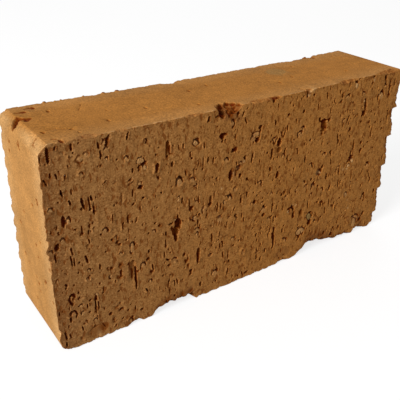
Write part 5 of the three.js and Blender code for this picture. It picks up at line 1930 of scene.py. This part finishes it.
@dataclass(frozen=True)
class SoftBox:
    """A large soft lamp, aimed at the brick's middle. Place and size in metres.

    `level` is the light that it puts on a surface facing it, where 1 renders a colour as written.
    """

    name: str
    place: Point
    size: float
    level: float

    def make(self, target: Vector) -> None:
        """Adds the lamp: its power is level x pi^2 x distance^2."""
        offset = target - Vector(self.place)
        light = bpy.data.lights.new(self.name, "AREA")
        light.shape = "DISK"
        light.size = self.size
        light.energy = self.level * math.pi**2 * offset.length_squared
        lamp = add_object(self.name, light)
        lamp.rotation_mode = "QUATERNION"
        lamp.rotation_quaternion = offset.to_track_quat("-Z", "Y")
        lamp.location = self.place


@dataclass
class Studio:
    """A pale floor, soft lamps, an even surround and the camera."""

    target: Vector
    floor_half: float = 6.0
    floor_drop: float = 0.0002
    floor_colour: str = "#a6a6a6"
    floor_glow: float = 0.76
    surround: float = 0.34
    lamps: tuple[SoftBox, ...] = (
        SoftBox("key", (-1.51, -0.37, 0.72), 0.7, 0.86),
        SoftBox("fill", (0.9, 1.2, 1.1), 1.2, 0.08),
    )
    lens: float = 50.86
    camera_place: Point = (-0.19023, -0.23922, 0.21002)
    camera_right: Point = (0.81851, -0.57384, 0.02748)
    camera_up: Point = (0.25686, 0.40833, 0.87595)

    def build(self) -> None:
        """Adds everything."""
        self._floor()
        self._surround()
        for lamp in self.lamps:
            lamp.make(self.target)
        self._camera()

    def _floor(self) -> None:
        """A flat sheet under the brick, which keeps its shadow and looks white around it."""
        half = self.floor_half
        mesh = bpy.data.meshes.new("floor")
        corners = [(-half, -half, 0.0), (half, -half, 0.0), (half, half, 0.0), (-half, half, 0.0)]
        mesh.from_pydata(corners, [], [(0, 1, 2, 3)])
        floor = add_object("floor", mesh)
        floor.location.z = -self.floor_drop
        material = bpy.data.materials.new("matt_paper_floor")
        tree = empty_tree(material)
        seen = self._seen(tree)
        paper = add_node(tree, "ShaderNodeBsdfDiffuse", {"Color": linear(self.floor_colour)})
        sockets = {"Color": linear("#ffffff"), "Strength": self.floor_glow}
        glow = add_node(tree, "ShaderNodeEmission", sockets)
        lit = add_node(tree, "ShaderNodeAddShader", {0: paper.outputs[0], 1: glow.outputs[0]})
        mixed = add_node(tree, "ShaderNodeMixShader", {0: seen, 1: paper.outputs[0], 2: lit.outputs[0]})
        add_node(tree, "ShaderNodeOutputMaterial", {"Surface": mixed.outputs[0]})
        mesh.materials.append(material)

    def _surround(self) -> None:
        """An even grey light from all round, which the camera sees as white."""
        world = bpy.data.worlds.new("surround")
        bpy.context.scene.world = world
        tree = empty_tree(world)
        light, white = (
            add_node(tree, "ShaderNodeBackground", {"Color": linear("#ffffff"), "Strength": strength})
            for strength in (self.surround, 1.0)
        )
        sockets = {0: self._seen(tree), 1: light.outputs[0], 2: white.outputs[0]}
        mixed = add_node(tree, "ShaderNodeMixShader", sockets)
        add_node(tree, "ShaderNodeOutputWorld", {"Surface": mixed.outputs[0]})

    def _seen(self, tree: Tree) -> Socket:
        """1 for rays that carry a picture: camera, mirror and glass rays."""
        path = add_node(tree, "ShaderNodeLightPath").outputs
        seen = path["Is Camera Ray"]
        for ray in ("Is Glossy Ray", "Is Transmission Ray"):
            seen = add_node(tree, "ShaderNodeMath", {0: seen, 1: path[ray]}, operation="MAXIMUM").outputs[0]
        return seen

    def _camera(self) -> None:
        """The camera, from its place and its own right and up directions."""
        data = bpy.data.cameras.new("camera")
        data.lens = self.lens
        data.sensor_width = 36.0
        data.clip_start = 0.01
        camera = add_object("camera", data)
        right, up = Vector(self.camera_right), Vector(self.camera_up)
        turn = Matrix((right, up, right.cross(up))).transposed().to_4x4()
        camera.matrix_world = Matrix.Translation(self.camera_place) @ turn
        bpy.context.scene.camera = camera


def main() -> None:
    """Builds the brick, its clay and the studio, in that order."""
    logging.basicConfig(level=logging.INFO, format="%(name)s: %(message)s")
    bpy.context.scene.view_settings.view_transform = "Standard"
    block = Block.of_node(NODE)
    log.info("block %.1f x %.1f x %.1f mm", block.length, block.thickness, block.width)
    brick = BrickBody(block).build()
    brick.data.materials.append(FiredClay(block).make())
    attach(brick, BODY)
    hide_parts(NODE)
    Studio(Vector((0.0, 0.0, block.width / 2 * MM))).build()


if __name__ == "__main__":
    main()
